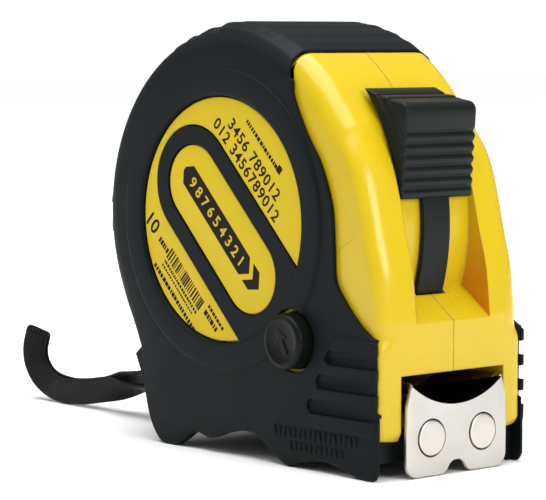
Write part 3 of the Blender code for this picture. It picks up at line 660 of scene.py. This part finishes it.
BARE += [(-13.2, 46.7), (-12.7, 40), (-9.8, 35.8), (-5.7, 31.7), (-2, 29.2), (0, 28.4)]
GRIP = [(-21, 9.2), (-19.5, 8.9), (-0.25, 8.9), (-0.25, 28.2), (-10.5, 29.0), (-13, 28.0), (-16.6, 22)]
GROOVES = [(24.1, -13.8), (18.9, -16.7), (13.6, -19.6)]
GROOVE_DEPTH = 1.2
BUTTON_HOLE = 6.6
RUBBER_SEAM = 0.05


def slot_outline(centre, half, r, along=ALONG, count=24):
    """A slot: two half circles of radius r, each half from the centre along a direction."""
    tilt = math.degrees(math.atan2(along[1], along[0]))
    near = arc_about(np.asarray(centre) + along * half, r, tilt - 90, tilt + 90, count)
    return np.vstack([near, arc_about(np.asarray(centre) - along * half, r, tilt + 90, tilt + 270, count)])


def tread_drop(turn):
    """How far the back lies below the crown: 0 on the blocks and TREAD_STEP in the gaps between them.

    A shallow sag is added over the first blocks, and a lip near the heel and a slow wave are taken off.
    """
    along = (turn - TREAD_FROM) % TREAD_PITCH
    up = smooth((along - 1.2) / 1.8) * smooth((TREAD_PITCH - along) / 1.4)
    lump = 0.12 * np.sin(np.radians(turn) * 47) * up
    sag = 0.6 * smooth((turn - 90) / 10) * smooth((152 - turn) / 16)
    lip = 0.7 * smooth((turn - 170) / 6) * (turn < TREAD_TO)
    return TREAD_STEP * np.where(turn < TREAD_FROM, 0, 1 - up * (turn < TREAD_TO)) + sag - lip - lump


def skin_grid(side):
    """One rubber skin before it is cut: outlines from the side face over the edge to the parting plane.

    Each outline is the side view moved inwards by a depth that falls smoothly from the side to the
    crown, and by the tread's own depth on the crown.
    """
    crest = curve_through(CREST, 12)
    upper = np.vstack([[(0, 14), (0, 28)], crest, case_round(CASE_R, CASE_R), [HEEL_POINT]])
    upper = even_steps(upper, 760)[:-1]
    wide = np.vstack([even_steps(curve_through(FEET, 8), 330)[:-1], upper])
    mid = np.vstack([even_steps(UNDER, 330)[:-1], upper])
    low = np.zeros(len(wide) - len(upper))
    turn = direction(upper) % 360
    edge = np.concatenate([low, smooth((upper[:, 1] - 8) / 26) * smooth((-upper[:, 0] - 6) / 24)])
    behind = np.concatenate([low, TREAD_STEP * smooth((turn - TREAD_FROM + 3) / 3)])
    drop = np.concatenate([low, tread_drop(turn)])
    foot = smooth((11 - wide[:, 1]) / 3)
    heights = [SIDE_Y, 21.15, 21.0, 20.8, 20.5, 20.1, 19.7, 19.4]
    edge_y, edge_depth = [19.4, 19.9, 20.4, 20.8, 21.0, SIDE_Y], [1.5, 2.0, 2.8, 3.6, 4.2, 5.7]
    depths = np.interp(heights, edge_y, edge_depth)
    rolls = [0.5, 0.25, 0.1, 0.0, 0.0, 0.0, 0.0, 0.0]
    outlines = [inset(wide, d * edge + r * foot + behind) for d, r in zip(depths, rolls)]
    crown = [19.0, 18.7, 18.3, 17.9, 17.5, 17.2, 16.8, 16.4, 15.9, 15.4, 8, RUBBER_SEAM]
    crown_depths = np.interp(crown, [0, 15.4, 16.6, 17.2, 18.1, 19.0], [0, 0, 0.12, 0.4, 0.85, 1.3])
    turning = smooth((19.0 - np.array(crown)) / 1.2)
    outlines += [inset(mid, d * edge + behind * (1 - t) + drop * t) for d, t in zip(crown_depths, turning)]
    return on_side(levels(outlines, heights + crown), side)


def ring_solid(side):
    """The raised ring round the label: a low bar with rounded shoulders, turned about the reel axis."""
    r_in = 26.6 if side > 0 else 26.5
    shoulder = np.radians(np.linspace(0, 90, 7))
    out = np.column_stack([32.5 - 0.9 + 0.9 * np.cos(shoulder), 20.9 + 0.8 * np.sin(shoulder)])
    inner = np.column_stack([r_in + 0.5 - 0.5 * np.cos(shoulder), 21.2 + 0.5 * np.sin(shoulder)])[::-1]
    profile = np.vstack([[(r_in, 20.4), (32.5, 20.4)], out, inner])
    return closed_mesh("ring", on_side(lathe(profile, REEL, 180), side), ring=True)


def pad(outline, side, y0, y1, soft):
    """A raised pad: an outline carried up to y1, drawn in by soft over a quarter round at its top."""
    t = np.radians(np.linspace(0, 90, 6))
    outlines = [outline] + [inset(outline, soft * (1 - np.cos(a))) for a in t]
    return on_side(levels(outlines, [y0, *(y1 - soft + soft * np.sin(t))]), side)


def groove(outline, side, floor, soft):
    """A groove to cut: its outline flares by soft from the floor up past the surface."""
    outlines = [inset(outline, soft), inset(outline, 0.35 * soft), outline, inset(outline, -2 * soft)]
    return on_side(levels(outlines, [floor, floor + 0.35 * soft, floor + 1.6 * soft, floor + 4]), side)


def band_outline(grow=0.0):
    """The rubber band round the pill, whose straight sides run on down and forward past the label."""
    r = BAND_R + grow
    start = PILL - ALONG * PILL_HALF
    round_end = arc_about(start, r, 45, 225, 60)
    return np.vstack([round_end, [PILL + ALONG * 40 - ASIDE * r, PILL + ALONG * 40 + ASIDE * r]])


def knurl_bars(side):
    """Two rows of small upright bars, raised low on the grip, each leaning a little its own way."""
    bars = []
    for z, height, start, stop in ((7.4, 1.9, -31, -6), (4.6, 1.5, -26, -9)):
        for k, x in enumerate(np.arange(start, stop, 1.55)):
            slant = 0.25 * ((k % 3) - 1)
            lean = np.array([slant, 1.0]) / math.hypot(slant, 1)
            outline = slot_outline((x, z), height / 2 - 0.2, 0.42, lean, 6)
            bars.append(pad(outline, side, SIDE_Y - 0.4, SIDE_Y + 0.28, 0.15))
    return bars


def skin_mesh(side):
    """One finished rubber skin: the raised parts joined on, then the case, label and grooves cut out."""
    grip = pad(even_loop(np.array(GRIP), 89), side, 20.6, RAISED_Y, 0.45)
    raised = [ring_solid(side), grip, *knurl_bars(side)]
    skin = shape_boolean(closed_mesh("skin", skin_grid(side)), raised, "UNION")
    bare = np.vstack([curve_through(BARE, 8), [(30, 28.4), (30, 110)]])
    cuts = [shell_grid(side, GAP), bar(bare, -40, 40), block(-86, -67.7, -4.9, 4.9, 8.4, 17.6)]
    cuts.append(block(-3.1, 5, -20.3, 20.3, -1, 13))
    for z, x in GROOVES:
        outline = slot_outline(((x + 5) / 2, z), (5 - x) / 2, 1.45, FORWARD, 12)
        cuts.append(groove(outline, side, RAISED_Y - GROOVE_DEPTH, 0.25))
    low, high = sorted((side * 19, side * 30))
    if side > 0:
        cuts += [rod(REEL, LABEL_R + GAP, low, high, 160), rod(CASE_SCREWS[1][:2], 2.7, low, high)]
        return shape_boolean(skin, cuts)
    label_room = closed_mesh("recess", rod(REEL, LABEL_R + GAP, low, high, 160))
    cuts.append(shape_boolean(label_room, [bar(band_outline(), low - 1, high + 1)]))
    cuts.append(bar(slot_outline(PILL, PILL_HALF, PILL_R + GAP), low, high))
    cuts.append(rod(BUTTON, BUTTON_HOLE, low, high, 72))
    return shape_boolean(skin, cuts)


rubber = Finish("black_rubber", Specular_IOR_Level=0.11)
rubber_spark = rubber.noise(2400.0, 2.0)
rubber_cloud = rubber.noise(55.0, 4.0, 0.6)
rubber_dust = rubber.noise(420.0, 5.0, 0.7)
rubber_tone = rubber.blend(rubber_cloud, RUBBER, rgb(0.005, 0.008, 0.0094))
rubber_tone = rubber.blend((rubber_dust > 0.68) * 0.2, rubber_tone, rgb(0.024, 0.028, 0.03))
rubber.surface(
    Base_Color=rubber_tone,
    Roughness=rubber_cloud * 0.14 + rubber_spark * 0.08 + 0.40,
    Normal=rubber.bump(rubber_spark, 0.00004, 0.55, rubber.soft_edges(0.0004)),
)
for name, side in (("left", -1), ("right", 1)):
    skin = skin_mesh(side)
    skin_piece = piece(f"rubber_skin_{name}", skin, rubber.material, "case", [f"rubber_grip_{name}"])


# Chin guard. A bar of black plastic under the mouth, moulded on its own and clipped between the two
# rubber skins.
CHIN_HALF = 18.6
CHIN = [(-14.3, 2.6), (-4.4, 2.6), (-3.3, 3.0), (-3, 3.8), (-3, 7.65), (-14.3, 7.65)]
chin_bar = eased_bar(np.array(CHIN), -CHIN_HALF, CHIN_HALF, [(0.4, 0), (0.12, 0.2), (0, 0.5)])
chin = piece("chin_bar", closed_mesh("chin", chin_bar), black_plastic, "case", ["chin_guard"])

# Labels. Yellow printed vinyl, 0.6 mm thick with its foam backing: an open ring and a pill on the left,
# a whole disc on the right. The print is black ink: figures, a bar code and plain marks.
LABEL_TOP = 20.9
INK_RISE = 0.02
PILL_INK_RISE = 0.05
vinyl = Finish("yellow_vinyl", Specular_IOR_Level=0.15)
vinyl_cloud = vinyl.noise(60.0, 3.0)
vinyl_dots = vinyl.noise(1300.0, 1.0)
vinyl_tone = vinyl.blend(vinyl_cloud, rgb(0.60, 0.44, 0.014), rgb(0.58, 0.42, 0.011))
vinyl.surface(Base_Color=vinyl_tone, Roughness=vinyl_cloud * 0.1 + vinyl_dots * 0.06 + 0.33,
              Normal=vinyl.bump(vinyl_dots, 0.00001, 0.5, vinyl.soft_edges(0.0002)))


def sticker(outline, side):
    """A sticker: its outline carried from the shell to its face, the face's edge rolled down a little."""
    outlines = [outline, outline, inset(outline, 0.12), inset(outline, 0.35)]
    return on_side(levels(outlines, [SHELL_Y + GAP, LABEL_TOP - 0.14, LABEL_TOP - 0.03, LABEL_TOP]), side)


label_rim = circle(REEL, LABEL_R, 240)
ring_label = closed_mesh("ring", sticker(label_rim, -1))
ring_label = shape_boolean(ring_label, [bar(band_outline(GAP), -24, -18)])
piece("label_open_ring", ring_label, vinyl.material, "case", ["label_ring_left"])
pill_label = closed_mesh("pill", sticker(slot_outline(PILL, PILL_HALF, PILL_R, count=48), -1))
piece("label_pill", pill_label, vinyl.material, "case", ["label_pill_left"])
disc_label = closed_mesh("disc", sticker(label_rim, 1))
disc_label = shape_boolean(disc_label, [rod(REEL, 2.8, 15, 25), rod(CLIP_SCREW, 1.5, 15, 25, 24)])
piece("label_disc", disc_label, vinyl.material, "case", ["label_right"])


def on_label(uv, side, rise=INK_RISE):
    """Label points, u along the pill and v across it from the pill's middle, on the label's face."""
    uv = np.asarray(uv, float)
    xz = PILL + uv[..., :1] * ALONG + uv[..., 1:2] * ASIDE
    if side > 0:
        xz = np.stack([2 * REEL[0] - xz[..., 0], xz[..., 1]], axis=-1)
    y = np.full(xz.shape[:-1], side * (LABEL_TOP + rise))
    return np.stack([xz[..., 0], y, xz[..., 1]], axis=-1)


def ink_strokes(strokes, side):
    """Printed bars as one set of thin slabs: each is (u, v, length, width) centred on (u, v)."""
    s = np.asarray(strokes, float)
    corner = np.array([(-0.5, -0.5), (0.5, -0.5), (0.5, 0.5), (-0.5, 0.5)])
    uv = s[:, None, :2] + corner[None] * s[:, None, 2:]
    top = on_label(uv, side)
    low = on_label(uv, side, -INK_RISE)
    points = np.concatenate([top, low], axis=1).reshape(-1, 3)
    first = np.arange(len(s))[:, None, None] * 8
    sides = np.array([(0, 1, 2, 3), (7, 6, 5, 4), (0, 4, 5, 1), (1, 5, 6, 2), (2, 6, 7, 3), (3, 7, 4, 0)])
    return points, (first + sides[None]).reshape(-1, 4)


def figure_slab(text, height, spread=1.0):
    """Figures as a thin slab, 0.02 each way of its middle: points as (across, up, out), and faces."""
    curve = bpy.data.curves.new("figures", "FONT")
    curve.body = text
    curve.size = height / 0.72
    curve.offset = height * 0.026
    curve.space_character = spread
    curve.extrude = INK_RISE
    obj = bpy.data.objects.new("figures", curve)
    bpy.context.scene.collection.objects.link(obj)
    bpy.context.view_layer.update()
    flat = bpy.data.meshes.new_from_object(obj.evaluated_get(bpy.context.evaluated_depsgraph_get()))
    bpy.data.objects.remove(obj)
    co = np.empty(len(flat.vertices) * 3)
    flat.vertices.foreach_get("co", co)
    return co.reshape(-1, 3), [tuple(p.vertices) for p in flat.polygons]


def figures(text, u, v, height, side, rise=INK_RISE, spread=1.0):
    """Printed figures that stand rise off the label, their first corner at (u, v): (points, faces)."""
    co, faces = figure_slab(text, height, spread)
    points = on_label(co[:, :2] + (u, v), side, rise - INK_RISE)
    points[:, 1] += side * co[:, 2]
    return points, faces


def printed(name, parts, material, body="case"):
    """One piece of print from several (points, faces) sets."""
    points, faces, count = [], [], 0
    for co, polygons in parts:
        points.append(co)
        faces += [tuple(int(i) + count for i in p) for p in polygons]
        count += len(co)
    mesh = bpy.data.meshes.new(name)
    mesh.from_pydata(row(np.vstack(points)).tolist(), [], faces)
    return piece(name, mesh, material, body)


rng = np.random.default_rng(7)


def bar_code(u0, u1, v, height):
    """Bars across the label's length, of one to three units with gaps of one to three."""
    unit = 0.16
    strokes, u = [], u0
    while u < u1:
        wide = unit * rng.integers(1, 4)
        strokes.append((u + wide / 2, v, wide, height))
        u += wide + unit * rng.integers(1, 4)
    return strokes


def dashes(u0, u1, v, height, longest):
    """A line of small print as short dashes that can't be read."""
    strokes, u = [], u0
    while u < u1:
        long = rng.uniform(0.35, longest)
        strokes.append((u + long / 2, v, long, height))
        u += long + rng.uniform(0.18, 0.35)
    return strokes


ink = Finish("black_ink", Specular_IOR_Level=0.1)
ink_speckle = ink.noise(900.0, 2.0)
ink_tone = ink.blend(ink_speckle, rgb(0.006, 0.003, 0.003), rgb(0.012, 0.007, 0.006))
ink.surface(Base_Color=ink_tone, Roughness=ink_speckle * 0.2 + 0.35)


def arrow_bar(side):
    """The black bar on the pill, pointed at both ends, with a chevron's gap near its head."""
    half = 2.7
    left = [(-17.4, 0.6), (-17.4, -0.6), (-15.6, -half)]
    body = left + [(10.6, -half), (12.8, 0), (10.6, half), (-15.6, half)]
    head = [(12.2, -half), (14.9, -half), (17.2, 0), (14.9, half), (12.2, half), (14.4, 0)]
    parts = []
    for outline in (body, head):
        n = len(outline)
        points = np.vstack([on_label(outline, side), on_label(outline, side, -INK_RISE)])
        walls = [(k, (k + 1) % n, n + (k + 1) % n, n + k) for k in range(n)]
        parts.append((points, [tuple(range(n)), tuple(range(2 * n - 1, n - 1, -1)), *walls]))
    return parts


# Small print on the left label: from u, to u, v, height and longest dash of each line.
SMALL_PRINT = [(-8.0, 7.0, -19.4, 0.7, 0.7), (-10.4, 2.4, 22.3, 0.9, 1.0), (-12.6, -8.6, -17.3, 1.3, 0.9)]
SMALL_PRINT += [(-9.8, 8.6, -22.6, 1.0, 1.1), (8.8, 15.6, -15.0, 0.8, 0.9), (8.8, 14.4, -16.8, 1.2, 1.1)]
SMALL_PRINT += [(-8.0, 6.0, -20.6, 0.5, 0.6)]
left_strokes = bar_code(-8.2, 7.2, -17.0, 3.0)
for line in SMALL_PRINT:
    left_strokes += dashes(*line)
left_strokes.append((3.9, 22.6, 1.5, 1.7))
left_print = [
    figures("012 3456789012", -17.6, 13.6, 2.7, -1, spread=1.12),
    figures("3456 789012", -14.2, 17.0, 2.7, -1, spread=1.12),
    figures("10", -19.2, -18.3, 3.5, -1),
    ink_strokes(left_strokes, -1),
    *arrow_bar(-1),
]
right_print = [
    figures("012 3456789012", -18.4, 13.6, 2.7, 1),
    ink_strokes(bar_code(-8.2, 7.2, -15.4, 3.4) + dashes(-9.0, 8.0, -19.0, 0.9, 1.0), 1),
]
printed("label_print_left", left_print, ink.material)
printed("label_print_right", right_print, ink.material)
pill_figures = figures("9 8 7 6 5 4 3 2 1", -14.2, -1.3, 2.6, -1, PILL_INK_RISE)
printed("label_print_pill_figures", [pill_figures], vinyl.material)

# Reel. A nylon drum between two flanges turns on a steel post; the flat blued spring inside it winds the
# blade back in, and a screw from the right holds the post.
blued_steel = metal("blued_steel", rgb(0.09, 0.11, 0.15), 0.36)
grey_nylon = moulded("grey_nylon", rgb(0.045, 0.046, 0.048), 0.5)
for name in ("reel_drum", "reel_flange_left", "reel_flange_right"):
    dress(nodes[name], grey_nylon)
dress(nodes["main_spring"], blued_steel)
dress(nodes["axle_post"], bright_steel)
dress(nodes["axle_screw"], dark_steel)

# Blade. Bowed spring steel 25 mm wide, enamelled yellow and printed with a line each millimetre and a
# figure each centimetre; its first 16 mm are painted dark brown, as painted shade for the dark inside of the
# mouth. What isn't drawn out is wound on the drum.
BLADE_TIP = 0.3
BLADE_BACK = -66.0
BLADE_LOW = 15.0
BLADE_BOW = 20.3
BLADE_HALF = 12.5
BLADE_THICK = 0.35
MOUTH_SHADE_END = 16.6
RIVETS = ((-4, -5.5), (-4, 5.5), (-10, 0))
TURN_PITCH = 0.36


def bow(y, lift=0.0):
    """Height of the blade's section at y: low + lift + R - sqrt(R^2 - y^2)."""
    return BLADE_LOW + lift + BLADE_BOW - np.sqrt(BLADE_BOW**2 - np.asarray(y, float) ** 2)


def bowed_bar(stations, half, low, high, count=33):
    """A bar along X whose section follows the bow between two lifts, its long edges rounded over."""
    t = np.linspace(-1, 1, count)
    y = half * np.sin(0.5 * np.pi * t)
    mid = (low + high) / 2
    thick = (high - low) / 2 * (1 - np.abs(t) ** 24) + 1e-3
    under = np.column_stack([y, bow(y, mid - thick)])
    over = np.column_stack([y, bow(y, mid + thick)])
    section = np.concatenate([under, over[::-1]])
    x = np.broadcast_to(np.reshape(stations, (-1, 1)), (len(stations), len(section)))
    y, z = (np.broadcast_to(section[:, k], x.shape) for k in (0, 1))
    return np.stack([x, y, z], axis=-1)


def forward(grid):
    """A grid made along Y, turned to run along X: its outline then lies in (y, z)."""
    return grid[..., [1, 0, 2]]


def upright(grid):
    """A grid made along Y, turned to run along Z: its outline then lies in (x, y)."""
    return grid[..., [0, 2, 1]]


enamel = Finish("yellow_enamel", Specular_IOR_Level=0.4, Coat_Roughness=0.2)
enamel_x = enamel.node("SeparateXYZ", {}, {0: enamel.place})
enamel_y = Wire(enamel, enamel_x.socket.node.outputs[1])
from_tip = (row((BLADE_TIP, 0, 0))[0] - enamel_x) * 1000.0
across = abs(enamel_y * 1000.0 - SHIFT[1])


def marks(step, width, reach):
    """Lines across the blade each step mm, width mm wide, in from both edges by reach mm."""
    near = from_tip.math("FRACT", (from_tip + width / 2) / step) < width / step
    return near * (across > BLADE_HALF - reach)


lines = marks(1.0, 0.16, 2.6)
for step, width, reach in ((5.0, 0.2, 4.0), (10.0, 0.24, 6.0)):
    lines = lines.math("MAXIMUM", lines, marks(step, width, reach))
enamel_cloud = enamel.noise(120.0, 3.0)
enamel_tone = enamel.blend(enamel_cloud, rgb(0.62, 0.44, 0.016), rgb(0.57, 0.39, 0.012))
printed_tone = enamel.blend(lines, enamel_tone, rgb(0.012, 0.011, 0.010))
# Painted shade: the blade's first 16 mm turn dark brown, standing in for the shade inside the mouth.
mouth_shade = enamel.node("MapRange", {}, {0: from_tip + enamel_cloud * 0.6, 1: MOUTH_SHADE_END, 2: 15.8})
enamel.surface(
    Base_Color=enamel.blend(mouth_shade, printed_tone, rgb(0.055, 0.021, 0.012)),
    Roughness=enamel_cloud * 0.15 + 0.25,
    Coat_Weight=enamel_cloud * 0.2 + 0.1,
    Normal=enamel.bump(enamel_cloud, 0.00002, 0.4),
)

stations = np.concatenate([np.linspace(BLADE_BACK, BLADE_TIP - 0.3, 45), [BLADE_TIP - 0.1, BLADE_TIP]])
blade_mesh = shape_boolean(
    closed_mesh("blade", bowed_bar(stations, BLADE_HALF, 0, BLADE_THICK)),
    [upright(rod(place, 1.15, 10, 22, 24)) for place in RIVETS],
)
blade = piece("blade_ribbon", blade_mesh, enamel.material, "blade", ["blade_run"], angle=50)

# The wound turns show as rings about the axle, TURN_PITCH apart: their edges' height is a sine of the radius.
axle = tuple(row((REEL[0], 0, REEL[1])))
coil_edges = Finish("coil_edges", Specular_IOR_Level=0.4)
from_axle = coil_edges.node("VectorMath", {"operation": "SUBTRACT"}, {0: coil_edges.place, 1: axle})
from_axle = coil_edges.node("VectorMath", {"operation": "MULTIPLY"}, {0: from_axle, 1: (1, 0, 1)})
coil_r = coil_edges.node("VectorMath", {"operation": "LENGTH"}, {0: from_axle}, out=1)
turns = coil_r.math("SINE", coil_r * (2 * math.pi / (TURN_PITCH * MM))) * 0.5 + 0.5
coil_edges.surface(
    Base_Color=coil_edges.blend(turns, rgb(0.16, 0.12, 0.02), rgb(0.60, 0.42, 0.015)),
    Roughness=turns * 0.1 + 0.35,
    Normal=coil_edges.bump(turns, 0.0001, 0.6),
)
dress(nodes["blade_coil"], coil_edges.material)


def on_blade(text, x, y, height):
    """A figure printed across the blade, laid on its bow, as (points, faces)."""
    co, faces = figure_slab(text, height)
    lie_y = y + co[:, 0]
    return np.column_stack([x + co[:, 1], lie_y, bow(lie_y, BLADE_THICK + 0.004) + co[:, 2]]), faces


centimetres = [on_blade(str(k), BLADE_TIP - 10 * k + 0.8, -0.9, 3.4) for k in (2, 3, 4, 5, 6)]
printed("blade_figures", centimetres, ink.material, body="blade")

# End hook. Nickelled steel: a flat plate with a bowed top and a notch below, a tab under the blade whose
# three slots let it slide a millimetre on its rivets, and two disc magnets pressed into the plate.
HOOK_BACK = 0.6
HOOK_FRONT = 1.6
HOOK_TOP = 35
MAGNETS = (-7.3, 7.3)
MAGNET_Z = 8.0
nickel = metal("nickelled_steel", rgb(0.62, 0.60, 0.565), 0.36, brush=700.0, streak=(1.0, 1.0, 0.25))


def hook_line():
    """The plate's outline, seen from the front: lobes of 3 mm below, a notch, and the bow on top."""
    lobe = [tuple(p) for p in arc_about((-11.3, 3.15), 3.0, 180, 270, 12)]
    notch = [(-5.0, 0.15), (-3.8, 0.2), (-2.8, 0.9), (-1.9, 2.2), (-0.9, 2.8)]
    half = [(-12.9, 19.3), (-14.2, 15), (-14.35, 9)] + lobe + notch
    top = [(y, HOOK_TOP - math.sqrt(BLADE_BOW**2 - y * y)) for y in np.linspace(12.4, -12.4, 25)]
    return np.array(half + [(-y, z) for y, z in half[::-1]] + top)


hook_edge = even_loop(hook_line(), 360)
hook_plate = forward(eased_bar(hook_edge, HOOK_BACK, HOOK_FRONT, [(0.3, 0), (0.09, 0.09), (0, 0.3)]))
hook_tab = bowed_bar([-13.5, -13.3, -12.8, -8, -2, 1.0, 1.2], 8.6, -1.2, -0.35)
hook_mesh = shape_boolean(closed_mesh("hook", hook_plate), [hook_tab], "UNION")
hook_cuts = []
for x, y in RIVETS:
    slide = slot_outline(np.array([x - 0.6, y]), 0.6, 1.2, FORWARD, 16)
    hook_cuts.append(upright(bar(slide, 9, 18)))
for y in MAGNETS:
    hook_cuts.append(forward(rod((y, MAGNET_Z), 3.95, 0, 3, 64)))
hook_mesh = shape_boolean(hook_mesh, hook_cuts)
hook = piece("hook_plate", hook_mesh, nickel, "hook", ["end_hook"])
magnet_finish = metal("magnet_nickel", rgb(0.70, 0.67, 0.62), 0.40, brush=900.0)
magnet_profile = [(0.05, 0.45), (3.45, 0.45), (3.65, 0.65), (3.65, 1.6), (3.58, 1.78), (3.4, 1.88)]
magnet_profile += [(3.1, 1.9), (0.05, 1.9)]
for name, y in zip(("left", "right"), MAGNETS):
    magnet_mesh = closed_mesh("magnet", forward(lathe(magnet_profile, (y, MAGNET_Z))))
    magnet = piece(f"hook_magnet_{name}", magnet_mesh, magnet_finish, "hook", [f"magnet_{name}"])
for k in (1, 2, 3):
    dress(nodes[f"hook_rivet_{k}"], bright_steel)

# Thumb lock. A black slider with ribs for the thumb, running down an arc about the reel; the tongue under
# it pushes its rubber pad onto the blade.
SLIDER_HALF = 10.0
slider_ribs = []
for k in range(6):
    z = 58.2 + 2.3 * k
    x = -4.5 + 1.2 * (z - 57) / 16
    slider_ribs += [(x, z - 0.75), (x - 0.5, z), (x, z + 0.75)]
slider_top = [(-7.4, 76.3), (-8.5, 76.55), (-9.0, 76.15), (-9.5, 76.9), (-11.6, 77.2), (-12.1, 76.8)]
slider_top += [(-12.6, 77.5)]
slider_line = np.vstack([
    arc_about(REEL, LOCK_FLOOR + 0.4, 40.5, 7.7, 40),
    [(-4.9, 56.2), (-4.62, 56.5)],
    curve_through(slider_ribs, 4),
    arc_about((-5.4, 73.9), 2.1, 0, 85, 12),
    curve_through(slider_top, 4),
    [(-15.4, 78.6)],
])
slider_ease = [(0.35, 0), (0.12, 0.1), (0.02, 0.3), (0, 0.5)]
slider_bar = eased_bar(slider_line, -SLIDER_HALF, SLIDER_HALF, slider_ease)
tongue_room = [*arc_about(REEL, 44.7, 0, 33, 40), *arc_about(REEL, 42, 33, 0, 40)]
slider_mesh = shape_boolean(closed_mesh("slider", slider_bar), [bar(tongue_room, -4, 4)])
slider = piece("thumb_slider", slider_mesh, black_plastic, "lock", ["lock_slider"], angle=40)
dress(nodes["lock_tongue"], black_plastic)
dress(nodes["lock_brake_pad"], rubber.material)

# Side button. A black plunger that presses its shoe on the reel's flange; its face is dished, with a plain
# arrow raised on it. The spring lies in a ring between its flange and the retainer.
SPRING_R = 6.6
SPRING_WIRE_R = 0.15
SPRING_Y = -16.55
SPRING_LENGTH = 1.3
SPRING_TURNS = 1.6
cap = [(0.05, -24.1), (3.8, -24.1), (4.2, -24.25), (4.7, -24.4), (5.15, -24.36), (5.5, -24.1), (5.72, -23.8),
       (5.8, -23.4), (5.8, -17.7), (7.6, -17.7), (7.6, -17.0), (0.05, -17.0)]
arrow_aim = np.array([math.cos(math.radians(118)), math.sin(math.radians(118))])
arrow_beside = np.array([-arrow_aim[1], arrow_aim[0]])
arrow = [(-3.0, -0.55), (0.2, -0.55), (0.2, -1.7), (3.0, 0), (0.2, 1.7), (0.2, 0.55), (-3.0, 0.55)]
arrow = np.array([BUTTON + a * arrow_aim + b * arrow_beside for a, b in arrow])
button_mesh = closed_mesh("button", lathe(cap, BUTTON, 96))
button_mesh = shape_boolean(button_mesh, [bar(arrow, -24.35, -23.5)], "UNION")
button_black = moulded("button_black", rgb(0.003, 0.0048, 0.0036), 0.34, Specular_IOR_Level=0.12)
button = piece("brake_button", button_mesh, button_black, "button", ["side_button"])
dress(nodes["brake_shoe"], rubber.material)
dress(nodes["button_retainer"], black_plastic)


def coil_spring():
    """A round wire carried along a helix about Y, as a grid: turns down the rows, the wire's round across."""
    turned = np.linspace(0, 2 * np.pi * SPRING_TURNS, 77)[:, None]
    around = (np.arange(10) * 2 * np.pi / 10)[None]
    r = SPRING_R + SPRING_WIRE_R * np.cos(around)
    y = SPRING_Y + SPRING_LENGTH * turned / turned[-1] + SPRING_WIRE_R * np.sin(around)
    return np.stack([BUTTON[0] + r * np.cos(turned), y, BUTTON[1] + r * np.sin(turned)], axis=-1)


spring_mesh = sheet_mesh("spring", coil_spring())
spring = piece("button_coil_spring", spring_mesh, bright_steel, "case", ["button_spring"])
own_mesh(spring)

# Belt clip and screws. A strip of bright spring steel screwed to the right half, and the blackened screws
# that hold the two halves together.
clip_tint = rgb(0.55, 0.545, 0.53)
clip_steel = metal("brushed_steel", clip_tint, 0.33, brush=600.0, streak=(1.0, 1.0, 0.06), grain=0.00005)
dress(nodes["belt_clip"], clip_steel)
for name in ("belt_clip_screw", "case_screw_1", "case_screw_2", "case_screw_3"):
    dress(nodes[name], dark_steel)
